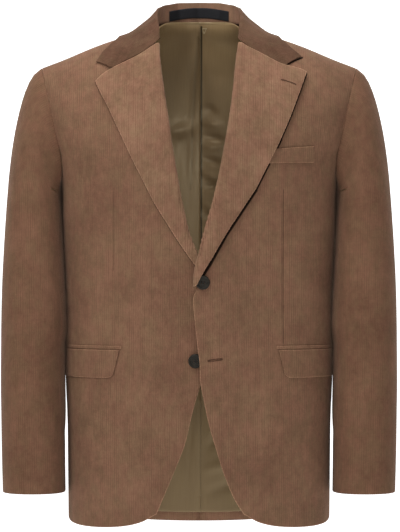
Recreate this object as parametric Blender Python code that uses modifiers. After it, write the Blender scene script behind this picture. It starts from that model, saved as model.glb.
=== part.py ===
"""Two-button corduroy jacket, filled out as if worn, as one solid for each piece that a tailor cuts.

Metres. +X is the wearer's left, +Y the wearer's back, +Z up. The origin is between the shoulders,
level with the points where the shoulder seams meet the collar's edge.
"""

import math
from collections import namedtuple

import bmesh
import bpy
from mathutils import Vector

MM = 0.001

# ---- driving dimensions -------------------------------------------------------------------------
CLOTH = 2.0 * MM  # corduroy with its interlining
LINING = 1.2 * MM
SEAM_GAP = 0.3 * MM
CHEST_LEVEL = -0.175  # above this height the body arches over to the shoulder seams
SHOULDER_SEAM_Y = 0.004
SHOULDER_HALF = 0.235  # centre to the shoulder point
SHOULDER_POINT_Z = -0.043
SHOULDER_SLOPE = 0.374
NECK_HALF = 0.070
NECK_DEPTH = 0.0715  # shoulder seam to the back neck point
NECK_RISE = 0.0115  # how far the neck draws the shoulder line up
PADDING_RISE = 2.2 * MM  # the shoulder pad fills the seam out a little
PADDING_OUT = 0.150
PADDING_REACH = 0.060
NECK_RISE_REACH = 0.100
UNDERARM_Z = -0.216
SIDE_HEM_Z = -0.712
BACK_HEM_Z = -0.734
ROUND_FRONT = 2.4  # superellipse powers of the body's plan
ROUND_BACK = 2.5
ARCH_FRONT = 1.85  # superellipse powers of the arch over the shoulder, seen from the side
ARCH_BACK = 2.5
BUTTON_RADIUS = 10.5 * MM
BUTTON_THICK = 3.2 * MM

Section = namedtuple("Section", "z half_width front back")
BODY = (
    Section(-0.043, 0.257, 0.123, 0.127),
    Section(-0.083, 0.2440, 0.123, 0.127),
    Section(-0.143, 0.2260, 0.123, 0.128),
    Section(-0.175, 0.2148, 0.123, 0.128),
    Section(-0.216, 0.2042, 0.123, 0.126),
    Section(-0.270, 0.2026, 0.122, 0.121),
    Section(-0.330, 0.2008, 0.120, 0.115),
    Section(-0.390, 0.1988, 0.119, 0.113),
    Section(-0.470, 0.1968, 0.121, 0.120),
    Section(-0.600, 0.1955, 0.125, 0.131),
    Section(-0.745, 0.1940, 0.128, 0.137),
)

# How far round the body's half width the armhole's edge lies, from the shoulder down to the underarm.
Armhole = namedtuple("Armhole", "z reach")
ARMHOLE = (
    Armhole(SHOULDER_POINT_Z, 0.9145),
    Armhole(-0.083, 0.920),
    Armhole(-0.143, 0.932),
    Armhole(-0.175, 0.946),
    Armhole(-0.195, 0.965),
    Armhole(-0.208, 0.985),
    Armhole(UNDERARM_Z, 1.0),
)

# Front edges as seen from the front: out is the distance from the centre towards that front's own side.
Edge = namedtuple("Edge", "z out")
UPPER_EDGE = (  # the wearer's left front, which laps over
    Edge(-0.010, 0.0583), Edge(-0.037, 0.0543), Edge(-0.097, 0.0481), Edge(-0.185, 0.0334),
    Edge(-0.243, 0.0203), Edge(-0.294, 0.0058), Edge(-0.320, 0.0), Edge(-0.342, -0.0058),
    Edge(-0.368, -0.0076), Edge(-0.396, -0.0081), Edge(-0.422, -0.0058), Edge(-0.455, -0.0023),
    Edge(-0.480, 0.0008), Edge(-0.510, 0.0022), Edge(-0.534, 0.0067), Edge(-0.568, 0.0141),
    Edge(-0.603, 0.0240), Edge(-0.642, 0.0363), Edge(-0.677, 0.0508), Edge(-0.700, 0.0650),
)
UNDER_EDGE = (  # the wearer's right front
    Edge(-0.010, 0.0591), Edge(-0.037, 0.0573), Edge(-0.112, 0.0466), Edge(-0.214, 0.0305),
    Edge(-0.294, 0.0131), Edge(-0.320, 0.0015), Edge(-0.345, -0.0080), Edge(-0.370, -0.0150),
    Edge(-0.400, -0.0180), Edge(-0.440, -0.0160), Edge(-0.480, -0.0105), Edge(-0.515, -0.0015),
    Edge(-0.539, 0.0058), Edge(-0.568, 0.0131), Edge(-0.598, 0.0203), Edge(-0.632, 0.0334),
    Edge(-0.667, 0.0479), Edge(-0.700, 0.0620),
)
# The front hem from the rounded corner to the side.
FRONT_HEM = (
    Edge(-0.700, 0.0640), Edge(-0.7125, 0.0765), Edge(-0.7195, 0.0960), Edge(-0.7215, 0.1300),
    Edge(-0.7185, 0.1660), Edge(SIDE_HEM_Z, 0.1943),
)

# The lapel's outer edge from its tip to the end of the roll, and the seam with the collar.
UPPER_LAPEL_EDGE = (
    Edge(-0.0560, 0.1575), Edge(-0.081, 0.1482), Edge(-0.117, 0.1345), Edge(-0.155, 0.1181),
    Edge(-0.228, 0.0815), Edge(-0.294, 0.0378), Edge(-0.336, 0.0145), Edge(-0.353, 0.0035),
    Edge(-0.3665, -0.0030),
)
UNDER_LAPEL_EDGE = (
    Edge(-0.0690, 0.1520), Edge(-0.083, 0.1462), Edge(-0.102, 0.1355), Edge(-0.113, 0.1301),
    Edge(-0.177, 0.1004), Edge(-0.250, 0.0640), Edge(-0.3085, 0.0276), Edge(-0.336, 0.0080),
    Edge(-0.352, -0.0050),
)
UPPER_GORGE = (
    Edge(-0.0100, 0.0583), Edge(-0.0295, 0.0914), Edge(-0.0465, 0.1238), Edge(-0.0500, 0.1450),
    Edge(-0.0560, 0.1575),
)
UNDER_GORGE = (
    Edge(-0.0100, 0.0591), Edge(-0.0305, 0.0900), Edge(-0.0490, 0.1275), Edge(-0.0580, 0.1415),
    Edge(-0.0690, 0.1520),
)

UPPER_LAP = 7.8 * MM  # how far the upper front stands off the body's form where the fronts cross
UNDER_LAP = -1.5 * MM
LAP_REACH = 0.085
LAPEL_WALL = 2.2 * MM
FOLD_HALF = 3.0 * MM  # half thickness of the rolled edge, which wraps round the front's own edge

# The collar from the centre back to its point: seam on the neck, top of the fold, falling edge.
CollarSection = namedtuple("CollarSection", "seam fold edge")
COLLAR = (
    CollarSection((0, 75, 32.5), (0, 72, 63.7), (0, 92, 17)),
    CollarSection((31, 67, 32), (31, 66, 62.7), (37, 87, 15)),
    CollarSection((52, 49, 29), (51, 48, 57.5), (76, 68, 7)),
    CollarSection((65, 27, 25), (60.5, 25, 50.5), (104, 40, 3)),
    CollarSection((69.5, 4, 22.5), (63.5, 2, 41), (117, 6, 0)),
    CollarSection((67, -20, 17), (62.5, -22, 30), (124, -20, -8)),
    CollarSection((63.5, -40, 8), (60.5, -42, 16), (137, -36, -18)),
    CollarSection((59.6, -58, -4), (58.6, -62, -3.5), (152.5, -47, -31)),
)
UNDER_POINT = (152.3, -50, -39.3)  # the leaf hangs lower on the wearer's right
COLLAR_SEAM = tuple(Edge(row.seam[2] * MM, row.seam[0] * MM) for row in COLLAR[:5])
COLLAR_LEAF_STEPS = (0.0, 0.08, 0.22, 0.42, 0.68, 0.85, 1.0)
COLLAR_NOTCH_STEP = 4
COLLAR_CLEAR = 3.9 * MM
COLLAR_BULGE = -0.6 * MM
COLLAR_GORGE_GAP = 0.6 * MM

# Sleeve rings: the front face, back face, inner and outer sides of the cloth.
Ring = namedtuple("Ring", "z inner outer front back")
SLEEVE = (
    Ring(-0.232, 0.2062, 0.2862, -0.074, 0.067),
    Ring(-0.290, 0.2034, 0.2895, -0.080, 0.053),
    Ring(-0.360, 0.2005, 0.2925, -0.086, 0.038),
    Ring(-0.422, 0.1982, 0.2938, -0.089, 0.031),
    Ring(-0.455, 0.2013, 0.2942, -0.088, 0.032),
    Ring(-0.507, 0.2012, 0.2945, -0.090, 0.030),
    Ring(-0.560, 0.1994, 0.2940, -0.091, 0.029),
    Ring(-0.620, 0.1992, 0.2930, -0.092, 0.028),
    Ring(-0.674, 0.1985, 0.2915, -0.093, 0.027),
)
SLEEVE_POWER = 2.25
TOP_SLEEVE = (-62.0, 198.0)  # degrees round the arm, 0 at its front and 90 at its outside
UNDER_SLEEVE = (198.0, 298.0)
SLEEVE_SEAM_GAP = 0.22  # degrees at each edge
SLEEVE_HEAD_STAND = 1.1 * MM  # from the armhole's edge to the middle of the sleeve's wall
SLEEVE_UNDERARM_STAND = 1.6 * MM  # added at the underarm
HEAD_LENGTH = 0.030  # how far the sleeve head runs out along the shoulder before it turns down

# Hip pockets and the breast pocket, as seen from the front.
FLAP_TOP_Z = -0.4615
FLAP_BOTTOM_Z = -0.5025
FLAP_IN = 0.1155
FLAP_SLANT = 0.0075
FLAP_LENGTH = 0.150
FLAP_CORNER = 0.012
JET_Z = (-0.4600, -0.4555)
JET_IN = 0.1130
JET_LENGTH = 0.154
WELT_OUT = (0.094, 0.1678)
WELT_TOP_Z = (-0.1695, -0.1630)
WELT_BOTTOM_Z = (-0.1895, -0.1872)

TOP_BUTTON = (0.0056, -0.3628)
LOWER_BUTTON = (-0.0051, -0.4775)
LINING_ROWS = 16
LINING_TOP = 0.985  # share of the back's height over the arch that the lining reaches
LINING_SIDES = (84.0, 62.0)  # degrees round the back, below the armholes and above them
LINING_STAND = 3.7 * MM  # clearance inside the back
LINING_UNDER_STAND = 1.4 * MM  # clearance of the half that the pleat hides
LINING_NECK_LIFT = 0.6 * MM  # how far its neck edge covers the collar's stand
LINING_NECK_STAND = (1.9 * MM, 0.85)  # off the stand for the half that the pleat hides, and share of what is left
LINING_NECK_END = 0.060  # past this the neck edge lies under the shoulder, not on the stand
LINING_HEM_CLEAR = 0.014  # the corduroy turned up inside the hem
LABEL_HALF = 46.5 * MM
LABEL_Z = (0.0392, 0.0548)
LABEL_DROP = 7.0 * MM

ROWS_BODY = 27
COLUMNS_BODY = 11
LOW_ROWS = 0.38  # share of a front's rows below LOW_TOP_Z, and of a panel's rows below the chest
CHEST_ROWS = 0.68
LOW_TOP_Z = -0.45
EDGE_BIAS = 1.35  # crowds a front's columns towards its edge
NECK_SHARE = 0.30  # share of the back's top edge that is neck


# ---- curves and the body's form -----------------------------------------------------------------
def smooth(share):
    """Ease from 0 to 1."""
    share = min(1.0, max(0.0, share))
    return share * share * (3.0 - 2.0 * share)


def window(value, low, high):
    """0 at low, 1 at high, eased."""
    return smooth((value - low) / (high - low))


def read(table, key, name, value):
    """Read one column of a table at a value of its key column, along a smooth curve through the rows."""
    rows = sorted(table, key=lambda row: getattr(row, key))
    xs = [getattr(row, key) for row in rows]
    ys = [getattr(row, name) for row in rows]
    if value <= xs[0]:
        return ys[0]
    if value >= xs[-1]:
        return ys[-1]
    i = next(n for n in range(len(xs) - 1) if value <= xs[n + 1])
    slopes = []
    for n in (i, i + 1):
        low, high = max(0, n - 1), min(len(xs) - 1, n + 1)
        slopes.append((ys[high] - ys[low]) / (xs[high] - xs[low]))
    span = xs[i + 1] - xs[i]
    t = (value - xs[i]) / span
    return (
        ys[i] * (1 + 2 * t) * (1 - t) ** 2
        + ys[i + 1] * t * t * (3 - 2 * t)
        + slopes[0] * span * t * (1 - t) ** 2
        - slopes[1] * span * t * t * (1 - t)
    )


def along(points, share):
    """The point at a share of the length of a polyline of vectors."""
    lengths = [(b - a).length for a, b in zip(points, points[1:])]
    left = share * sum(lengths)
    for a, b, length in zip(points, points[1:], lengths):
        if left <= length:
            return a.lerp(b, left / length)
        left -= length
    return points[-1].copy()


def shoulder_z(out):
    """Height of the shoulder seam above a distance from the centre."""
    out = abs(out)
    rise = max(0.0, 1.0 - (out / NECK_RISE_REACH) ** 2) ** 2
    padding = max(0.0, 1.0 - ((out - PADDING_OUT) / PADDING_REACH) ** 2) ** 2
    return (SHOULDER_POINT_Z + SHOULDER_SLOPE * (SHOULDER_HALF - out) + NECK_RISE * rise
            + PADDING_RISE * padding)


def power_cos(angle, power):
    return max(0.0, math.cos(angle)) ** (2.0 / power)


def power_sin(angle, power):
    value = math.sin(angle)
    return math.copysign(abs(value) ** (2.0 / power), value)


class Face:
    """One face of the body, front or back, with its own depth and roundness."""

    def __init__(self, sign, depth_name, plan_power, arch_power):
        self.sign = sign
        self.depth_name = depth_name
        self.plan = plan_power
        self.arch = arch_power

    def point(self, angle, level):
        """A point by its angle round from the centre and its level.

        A level up to 0 is metres below the chest, and 0 to 1 runs over the arch to the shoulder seam.
        """
        across = power_sin(angle, self.plan)
        if level <= 0:
            z = CHEST_LEVEL + level
            x = across * read(BODY, "z", "half_width", z)
            arch = 1.0
        else:
            lean = level * math.pi / 2
            x = across * 0.24
            for _ in range(8):
                z = CHEST_LEVEL + (shoulder_z(x) - CHEST_LEVEL) * power_sin(lean, self.arch)
                x = across * read(BODY, "z", "half_width", z)
            arch = power_cos(lean, self.arch)
        depth = read(BODY, "z", self.depth_name, z) * power_cos(angle, self.plan)
        seam = SHOULDER_SEAM_Y * self.sign
        return Vector((x, self.sign * (seam + (depth - seam) * arch), z))

    def place(self, out, z):
        """Angle and level of the point seen at a distance out from the centre and a height."""
        width = read(BODY, "z", "half_width", z)
        ratio = max(-1.0, min(1.0, out / width))
        angle = math.asin(math.copysign(abs(ratio) ** (self.plan / 2), ratio))
        if z <= CHEST_LEVEL:
            return angle, z - CHEST_LEVEL
        rise = min(1.0, (z - CHEST_LEVEL) / (shoulder_z(out) - CHEST_LEVEL))
        return angle, math.asin(rise ** (self.arch / 2)) * 2 / math.pi

    def at(self, out, z):
        """The point seen at a distance out from the centre and a height."""
        return self.point(*self.place(out, z))

    def normal(self, angle, level):
        """Outward normal, from small steps to each side."""
        step, rise = 0.01, 0.004
        high = min(level + rise, 0.999)
        low = level - rise
        across = self.point(angle + step, level) - self.point(angle - step, level)
        up = self.point(angle, high) - self.point(angle, low)
        return (across.cross(up) * -self.sign).normalized()

    def off(self, angle, level, stand):
        """A point moved out from the face by a distance."""
        return self.point(angle, level) + self.normal(angle, level) * stand


FRONT = Face(-1, "front", ROUND_FRONT, ARCH_FRONT)
BACK = Face(1, "back", ROUND_BACK, ARCH_BACK)
SIDE_ANGLE = math.pi / 2 - 0.0004  # leaves the seam gap at the side
TOP_OF = {FRONT: 0.9975, BACK: 0.9996}  # levels that leave the seam gap at the shoulder


def armhole_place(face, z):
    """Angle and level of the armhole's edge at a height."""
    if z <= UNDERARM_Z:
        return SIDE_ANGLE, z - CHEST_LEVEL
    out = read(ARMHOLE, "z", "reach", z) * read(BODY, "z", "half_width", z)
    angle, level = face.place(out, z)
    return min(angle, SIDE_ANGLE), level


# ---- making solids ------------------------------------------------------------------------------
def collection(name):
    made = bpy.data.collections.new(name)
    bpy.context.scene.collection.children.link(made)
    return made


def material(name, colour, roughness, metallic=0.0):
    made = bpy.data.materials.new(name)
    made.use_nodes = True
    shader = made.node_tree.nodes["Principled BSDF"]
    shader.inputs["Base Color"].default_value = (*colour, 1.0)
    shader.inputs["Roughness"].default_value = roughness
    shader.inputs["Metallic"].default_value = metallic
    made.diffuse_color = (*colour, 1.0)
    return made


def mirrored(grid):
    """A grid on the other side of the centre, with its rows reversed so that its faces still point out."""
    return [[Vector((-p.x, p.y, p.z)) for p in reversed(row)] for row in grid]


def wall(name, grid, thickness, finish, home, even=True):
    """A cloth wall: an open grid of points, thickened to both sides by a Solidify modifier."""
    mesh = bpy.data.meshes.new(name)
    columns = len(grid[0])
    points = [point for row in grid for point in row]
    faces = []
    for r in range(len(grid) - 1):
        for c in range(columns - 1):
            a = r * columns + c
            faces.append((a, a + 1, a + columns + 1, a + columns))
    mesh.from_pydata(points, [], faces)
    mesh.materials.append(finish)
    made = bpy.data.objects.new(name, mesh)
    home.objects.link(made)
    solid = made.modifiers.new("thickness", "SOLIDIFY")
    solid.thickness = thickness
    solid.offset = 0.0
    solid.use_even_offset = even
    mesh.shade_smooth()
    return made


# ---- fronts -------------------------------------------------------------------------------------
def lap_stand(upper, out, z):
    """How far a front stands off the body's form where the two fronts cross."""
    near = 1.0 - window(out, 0.012, LAP_REACH)
    level = window(z, -0.62, -0.50) * (1.0 - 0.55 * window(z, -0.30, -0.16))
    low = 0.35 * (1.0 - window(z, -0.62, -0.50))
    return (UPPER_LAP if upper else UNDER_LAP) * near * (level + low)


def front_place(upper, out, z, stand=0.0):
    """A point on a front, moved out from its cloth by stand."""
    angle, level = FRONT.place(out, z)
    return FRONT.off(angle, level, stand + lap_stand(upper, out, z))


def edge_steps(count, first=True):
    """Shares from 0 to 1, with one more close to its end, and to its start if first, for square rims."""
    return [0.0] + [0.02] * first + [n / count for n in range(1, count)] + [0.98, 1.0]


def front_edge(upper, z):
    """Distance out of a front's own edge at a height: inside the rolled lapel, or seen below it."""
    table, roll_end = (UPPER_EDGE, -0.376) if upper else (UNDER_EDGE, -0.362)
    inset = (FOLD_HALF + 1.8 * MM) * window(z, roll_end - 0.008, roll_end + 0.004)
    neck = window(z, -0.012, shoulder_z(NECK_HALF))
    out = read(table, "z", "out", z) + inset * (1 - neck)
    return out + (NECK_HALF - out) * neck


def front_hem_dip(corner_z, s):
    """How far the hem lies below a straight line from the rounded corner to the side."""
    out = FRONT_HEM[0].out + (FRONT_HEM[-1].out - FRONT_HEM[0].out) * s
    return read(FRONT_HEM, "out", "z", out) - (corner_z + (SIDE_HEM_Z - corner_z) * s)


def front_ends(upper, share):
    """Angle and level of both ends of a front's row, at a share of the way from hem to shoulder."""
    corner_z = (UPPER_EDGE if upper else UNDER_EDGE)[-1].z
    if share <= LOW_ROWS:
        part = share / LOW_ROWS
        edge_z = corner_z + (LOW_TOP_Z - corner_z) * part
        side_z = SIDE_HEM_Z + (LOW_TOP_Z - SIDE_HEM_Z) * part
    elif share <= CHEST_ROWS:
        part = (share - LOW_ROWS) / (CHEST_ROWS - LOW_ROWS)
        edge_z = side_z = LOW_TOP_Z + (CHEST_LEVEL - LOW_TOP_Z) * part
    else:
        level = (share - CHEST_ROWS) / (1 - CHEST_ROWS) * TOP_OF[FRONT]
        rise = power_sin(level * math.pi / 2, ARCH_FRONT)
        edge_z = CHEST_LEVEL + (shoulder_z(0.06) - CHEST_LEVEL) * rise
        side_z = CHEST_LEVEL + (SHOULDER_POINT_Z - CHEST_LEVEL) * rise
        out = NECK_HALF if share == 1 else front_edge(upper, edge_z)
        top = min(edge_z, shoulder_z(out) - 0.01 * MM)
        return (FRONT.place(out, top)[0], level), (armhole_place(FRONT, side_z)[0], level)
    edge = FRONT.place(front_edge(upper, edge_z), edge_z)
    return edge, armhole_place(FRONT, side_z)


def front_panel(upper):
    """One front, from its edge to the side seam and armhole and from the hem to the shoulder."""
    corner_z = (UPPER_EDGE if upper else UNDER_EDGE)[-1].z
    grid = []
    for share in edge_steps(ROWS_BODY, first=False):
        (edge_angle, edge_level), (side_angle, side_level) = front_ends(upper, share)
        fade = max(0.0, 1.0 - share / (0.6 * LOW_ROWS)) ** 2
        points = []
        for s in [step ** EDGE_BIAS for step in edge_steps(COLUMNS_BODY)]:
            angle = edge_angle + (side_angle - edge_angle) * s
            level = edge_level + (side_level - edge_level) * s + front_hem_dip(corner_z, s) * fade
            base = FRONT.point(angle, level)
            points.append(FRONT.off(angle, level, lap_stand(upper, base.x, base.z)))
        grid.append(points)
    return grid


def back_neck(s):
    """Angle and level of the back's top edge: the neck's curve, then the shoulder seam."""
    if s >= NECK_SHARE:
        first = BACK.place(NECK_HALF, shoulder_z(NECK_HALF) - 0.01 * MM)[0]
        last = armhole_place(BACK, SHOULDER_POINT_Z)[0]
        return first + (last - first) * (s - NECK_SHARE) / (1 - NECK_SHARE), TOP_OF[BACK]
    turn = s / NECK_SHARE * math.pi / 2
    out = NECK_HALF * math.sin(turn)
    run = NECK_DEPTH * math.cos(turn) / (BODY[0].back - SHOULDER_SEAM_Y)
    level = math.acos(run ** (ARCH_BACK / 2)) * 2 / math.pi
    return BACK.place(out, shoulder_z(out) - 0.01 * MM)[0], min(level, TOP_OF[BACK])


def back_panel():
    """One half of the back, from the centre seam to the side seam and armhole."""
    grid = []
    for share in edge_steps(ROWS_BODY, first=False):
        points = []
        for s in edge_steps(COLUMNS_BODY):
            top_angle, top_level = back_neck(s)
            if share <= CHEST_ROWS:
                low = BACK_HEM_Z + (SIDE_HEM_Z - BACK_HEM_Z) * smooth(s)
                level = (low - CHEST_LEVEL) * (1 - share / CHEST_ROWS)
                side_level = (SIDE_HEM_Z - CHEST_LEVEL) * (1 - share / CHEST_ROWS)
                angle = armhole_place(BACK, CHEST_LEVEL + side_level)[0] * s
            else:
                part = (share - CHEST_ROWS) / (1 - CHEST_ROWS)
                level = part * top_level
                rise = power_sin(part * TOP_OF[BACK] * math.pi / 2, ARCH_BACK)
                side_z = CHEST_LEVEL + (SHOULDER_POINT_Z - CHEST_LEVEL) * rise
                angle = armhole_place(BACK, side_z)[0] * s
                angle += (top_angle - angle) * smooth(part)
            point = BACK.point(angle, level)
            if s == 0:
                point.x = SEAM_GAP
            points.append(point)
        grid.append(points)
    return grid


# ---- lapels -------------------------------------------------------------------------------------
def lapel(upper):
    """The facing turned out over the front: behind the edge, round the roll and out to the tip."""
    edge_table = UPPER_EDGE if upper else UNDER_EDGE
    outer_table = UPPER_LAPEL_EDGE if upper else UNDER_LAPEL_EDGE
    gorge = UPPER_GORGE if upper else UNDER_GORGE
    roll_end = -0.369 if upper else -0.349
    lift = 6.3 * MM if upper else 3.5 * MM
    roll = [Vector((read(edge_table, "z", "out", z), 0, z)) for z in
            [-0.0100 + (roll_end + 0.0100) * n / 40 for n in range(41)]]
    outer = [Vector((row.out, 0, row.z)) for row in outer_table]
    top_row = [Vector((row.out, 0, row.z)) for row in gorge]
    rows = 15
    shares = (0.0, 0.1, 0.25, 0.45, 0.66, 0.83, 1.0)
    grid = []
    for row in range(rows + 1):
        t = row / rows
        start, end = along(roll, t), along(outer, t)
        fade = max(0.0, 1.0 - t / 0.25) ** 2
        width = (end - start).length
        inward = (start - end).normalized()
        points = []
        for step in (0.014, 0.004):  # the leg behind the front's edge
            seen = start - inward * min(step, 0.6 * width + 0.002)
            points.append(front_place(upper, seen.x, seen.z, -FOLD_HALF))
        full = window(-start.z, 0.32, 0.345) if upper else 0.0  # the roll fills out over the top button
        points.append(front_place(upper, start.x, start.z, 0.3 * lift * full))
        for share in shares:
            seen = start.lerp(end, share)
            if fade > 0:
                index = share * (len(top_row) - 1)
                low = min(int(index), len(top_row) - 2)
                top = top_row[low].lerp(top_row[low + 1], index - low)
                seen += (top - along(roll, 0).lerp(outer[0], share)) * fade
            rise = window(share * width, 0.0, min(0.03, 0.5 * width))
            stand = FOLD_HALF + (lift - FOLD_HALF) * max(rise, 0.9 * full)
            if share == 0.0:
                seen = start - inward * min(0.0035, 0.2 * width + 0.001) * (1.0 - 0.7 * full)
            points.append(front_place(upper, seen.x, seen.z, stand))
        grid.append(points)
    return grid


# ---- collar -------------------------------------------------------------------------------------
def clear_of_body(point, clearance):
    """Move a point out from the body's arch until it has its clearance."""
    face = BACK if point.y > SHOULDER_SEAM_Y else FRONT
    z = min(point.z, shoulder_z(point.x))
    depth = read(BODY, "z", face.depth_name, z)
    width = read(BODY, "z", "half_width", z)
    depth *= max(0.0, 1 - (abs(point.x) / width) ** face.plan) ** (1 / face.plan)
    half = depth - face.sign * SHOULDER_SEAM_Y
    run = abs(point.y - SHOULDER_SEAM_Y)
    rise = point.z - CHEST_LEVEL
    high = shoulder_z(point.x) - CHEST_LEVEL
    reach = ((run / half) ** face.arch + (rise / high) ** face.arch) ** (1 / face.arch)
    radius = math.hypot(run, rise)
    need = radius / reach + clearance
    if radius >= need:
        return point
    scale = need / radius
    moved = SHOULDER_SEAM_Y + (point.y - SHOULDER_SEAM_Y) * scale
    return Vector((point.x, moved, CHEST_LEVEL + rise * scale))


def collar_half(upper):
    """Half of the collar, a row for each section: up the stand, over the fold, down the leaf."""
    sections = []
    for first, second in zip(COLLAR, COLLAR[1:]):
        for n in range(2):
            mix = n / 2
            sections.append([Vector(a).lerp(Vector(b), mix) * MM for a, b in zip(first, second)])
    sections.append([Vector(a) * MM for a in COLLAR[-1]])
    if not upper:
        low = Vector(UNDER_POINT) * MM
        sections[-2][2] += (low - sections[-1][2]) / 2
        sections[-1][2] = low
    gorge = [Vector((row.out, 0, row.z)) for row in (UPPER_GORGE if upper else UNDER_GORGE)[:3]]
    grid = []
    last = len(sections) - 1
    for row, (seam, fold, edge) in enumerate(sections):
        points = [seam, seam.lerp(fold, 0.5)]
        bulge = Vector((fold.x, fold.y - SHOULDER_SEAM_Y, 0)).normalized() * COLLAR_BULGE
        leaf = []
        for step in COLLAR_LEAF_STEPS:
            p = fold.lerp(edge, step)
            if 0 < step < 1:
                p += bulge * math.sin(math.pi * min(1.0, step * 1.6)) if step < 0.6 else Vector()
            leaf.append(p)
        if row >= last - 3:
            mix = smooth((row - (last - 4)) / 4)
            for n, step in enumerate(COLLAR_LEAF_STEPS):
                if n <= COLLAR_NOTCH_STEP:
                    seen = along(gorge, n / COLLAR_NOTCH_STEP)
                else:
                    part = (n - COLLAR_NOTCH_STEP) / (len(COLLAR_LEAF_STEPS) - 1 - COLLAR_NOTCH_STEP)
                    seen = gorge[-1].lerp(Vector((edge.x, 0, edge.z)), part)
                seen.z += COLLAR_GORGE_GAP
                target = FRONT.at(seen.x, min(seen.z, shoulder_z(seen.x) - 0.002))
                if row == last and n > 0:
                    leaf[n] = leaf[n].lerp(target, mix)
                elif 0 < n < len(COLLAR_LEAF_STEPS) - 1:
                    leaf[n] = leaf[n].lerp(target, mix * 0.35)
        leaf = [leaf[0]] + [clear_of_body(p, COLLAR_CLEAR) for p in leaf[1:]]
        grid.append(points + leaf)
    return grid


def collar():
    """The whole collar, from the wearer's right point round the back to the left one."""
    other = [[Vector((-p.x, p.y, p.z)) for p in row] for row in collar_half(False)[:0:-1]]
    return other + collar_half(True)


# ---- sleeves ------------------------------------------------------------------------------------
def armhole_loop(turn):
    """The armhole's edge by the angle round the sleeve: 270 at the underarm, 0 front, 90 top, 180 back."""
    turn = (turn - 270.0) % 360.0
    face = FRONT if turn <= 180.0 else BACK
    share = turn / 180.0 if turn <= 180.0 else (360.0 - turn) / 180.0
    steps = 40
    trace = []
    for n in range(steps + 1):
        angle_share = n / steps
        z = UNDERARM_Z + (SHOULDER_POINT_Z - UNDERARM_Z) * angle_share
        if n == steps:
            place = face.place(SHOULDER_HALF, SHOULDER_POINT_Z)[0], TOP_OF[face]
        else:
            place = armhole_place(face, z)
        trace.append(face.point(*place))
    return along(trace, share)


def ring_point(ring, turn):
    angle = math.radians(turn)
    cx = (ring.inner + ring.outer) / 2
    cy = (ring.front + ring.back) / 2
    half_x = (ring.outer - ring.inner) / 2 - CLOTH / 2
    half_y = (ring.back - ring.front) / 2 - CLOTH / 2
    across = power_sin(angle, SLEEVE_POWER)
    value = math.cos(angle)
    fore = math.copysign(abs(value) ** (2.0 / SLEEVE_POWER), value)
    return Vector((cx + half_x * across, cy - half_y * fore, ring.z))


def sleeve_column(turn):
    """One line down the sleeve, from the armhole over the head to the cuff."""
    start = armhole_loop(turn)
    start.x += SLEEVE_HEAD_STAND
    outward = 0.5 + 0.5 * math.sin(math.radians(turn))  # 1 at the top, 0 at the underarm
    fore = math.cos(math.radians(turn))
    start.x += (1 - outward) ** 3 * SLEEVE_UNDERARM_STAND
    first = ring_point(SLEEVE[0], turn)
    second = ring_point(SLEEVE[1], turn)
    settle = (first - second).normalized()
    reach = (first - start).length
    head = Vector((0.92, -0.25 * fore, 0.10 - 0.42 * outward)).normalized()
    leave = Vector((0.12, 0.0, -1.0)).normalized()
    mix = window(outward, 0.02, 0.35)
    launch = (leave.lerp(head, mix)).normalized() * min(HEAD_LENGTH, 0.5 * reach + 0.004) * (0.4 + 0.6 * mix)
    land = settle * 0.45 * reach
    points = []
    for n in range(8):
        t = n / 8
        a = start * (1 - t) ** 3
        b = (start + launch) * 3 * t * (1 - t) ** 2
        c = (first + land) * 3 * t * t * (1 - t)
        d = first * t ** 3
        points.append(a + b + c + d)
    for ring in SLEEVE:
        points.append(ring_point(ring, turn))
    return points


def sleeve_grid(turns, count):
    low, high = turns[0] + SLEEVE_SEAM_GAP, turns[1] - SLEEVE_SEAM_GAP
    columns = [sleeve_column(low + (high - low) * share) for share in edge_steps(count)]
    return [[column[row] for column in columns] for row in range(len(columns[0]) - 1, -1, -1)]


# ---- pockets, buttons, lining -------------------------------------------------------------------
def round_from(out, z, length):
    """Angle round the front after a length of cloth from a distance out."""
    angle = FRONT.place(out, z)[0]
    last = FRONT.point(angle, z - CHEST_LEVEL)
    walked = 0.0
    step = 0.004
    while walked < length and angle < math.pi / 2 - 1e-3:
        angle += step
        here = FRONT.point(angle, z - CHEST_LEVEL)
        walked += (here - last).length
        last = here
    return angle


def hip_strip(upper, start_out, length, top_z, bottom_z, slant, corner, stand_top, stand_bottom, columns, rows):
    """A strip of cloth round the hip, such as a flap or its jet."""
    end = round_from(start_out, (top_z + bottom_z) / 2, length)
    grid = []
    for row in range(rows + 1):
        v = row / rows  # 0 at the bottom
        start = FRONT.place(start_out + slant * (1 - v), top_z)[0]
        points = []
        for column in range(columns + 1):
            s = column / columns
            angle = start + (end - start) * s
            low = bottom_z
            run = s * length
            if corner and run < corner:
                low += corner - math.sqrt(max(0.0, corner * corner - (corner - run) ** 2))
            z = low + (top_z - low) * v
            stand = stand_bottom + (stand_top - stand_bottom) * v
            stand += lap_stand(upper, FRONT.point(angle, z - CHEST_LEVEL).x, z)
            points.append(FRONT.off(angle, z - CHEST_LEVEL, stand))
        grid.append(points)
    return grid


def flap(upper):
    stand = CLOTH + 0.5 * MM
    return hip_strip(upper, FLAP_IN, FLAP_LENGTH, FLAP_TOP_Z, FLAP_BOTTOM_Z, FLAP_SLANT, FLAP_CORNER,
                     stand, stand + 0.5 * MM, 12, 4)


def jet(upper):
    stand = CLOTH / 2 + 0.4 * MM + 0.6 * MM
    return hip_strip(upper, JET_IN, JET_LENGTH, JET_Z[1], JET_Z[0], 0.0, 0.0, stand, stand, 12, 1)


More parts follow.
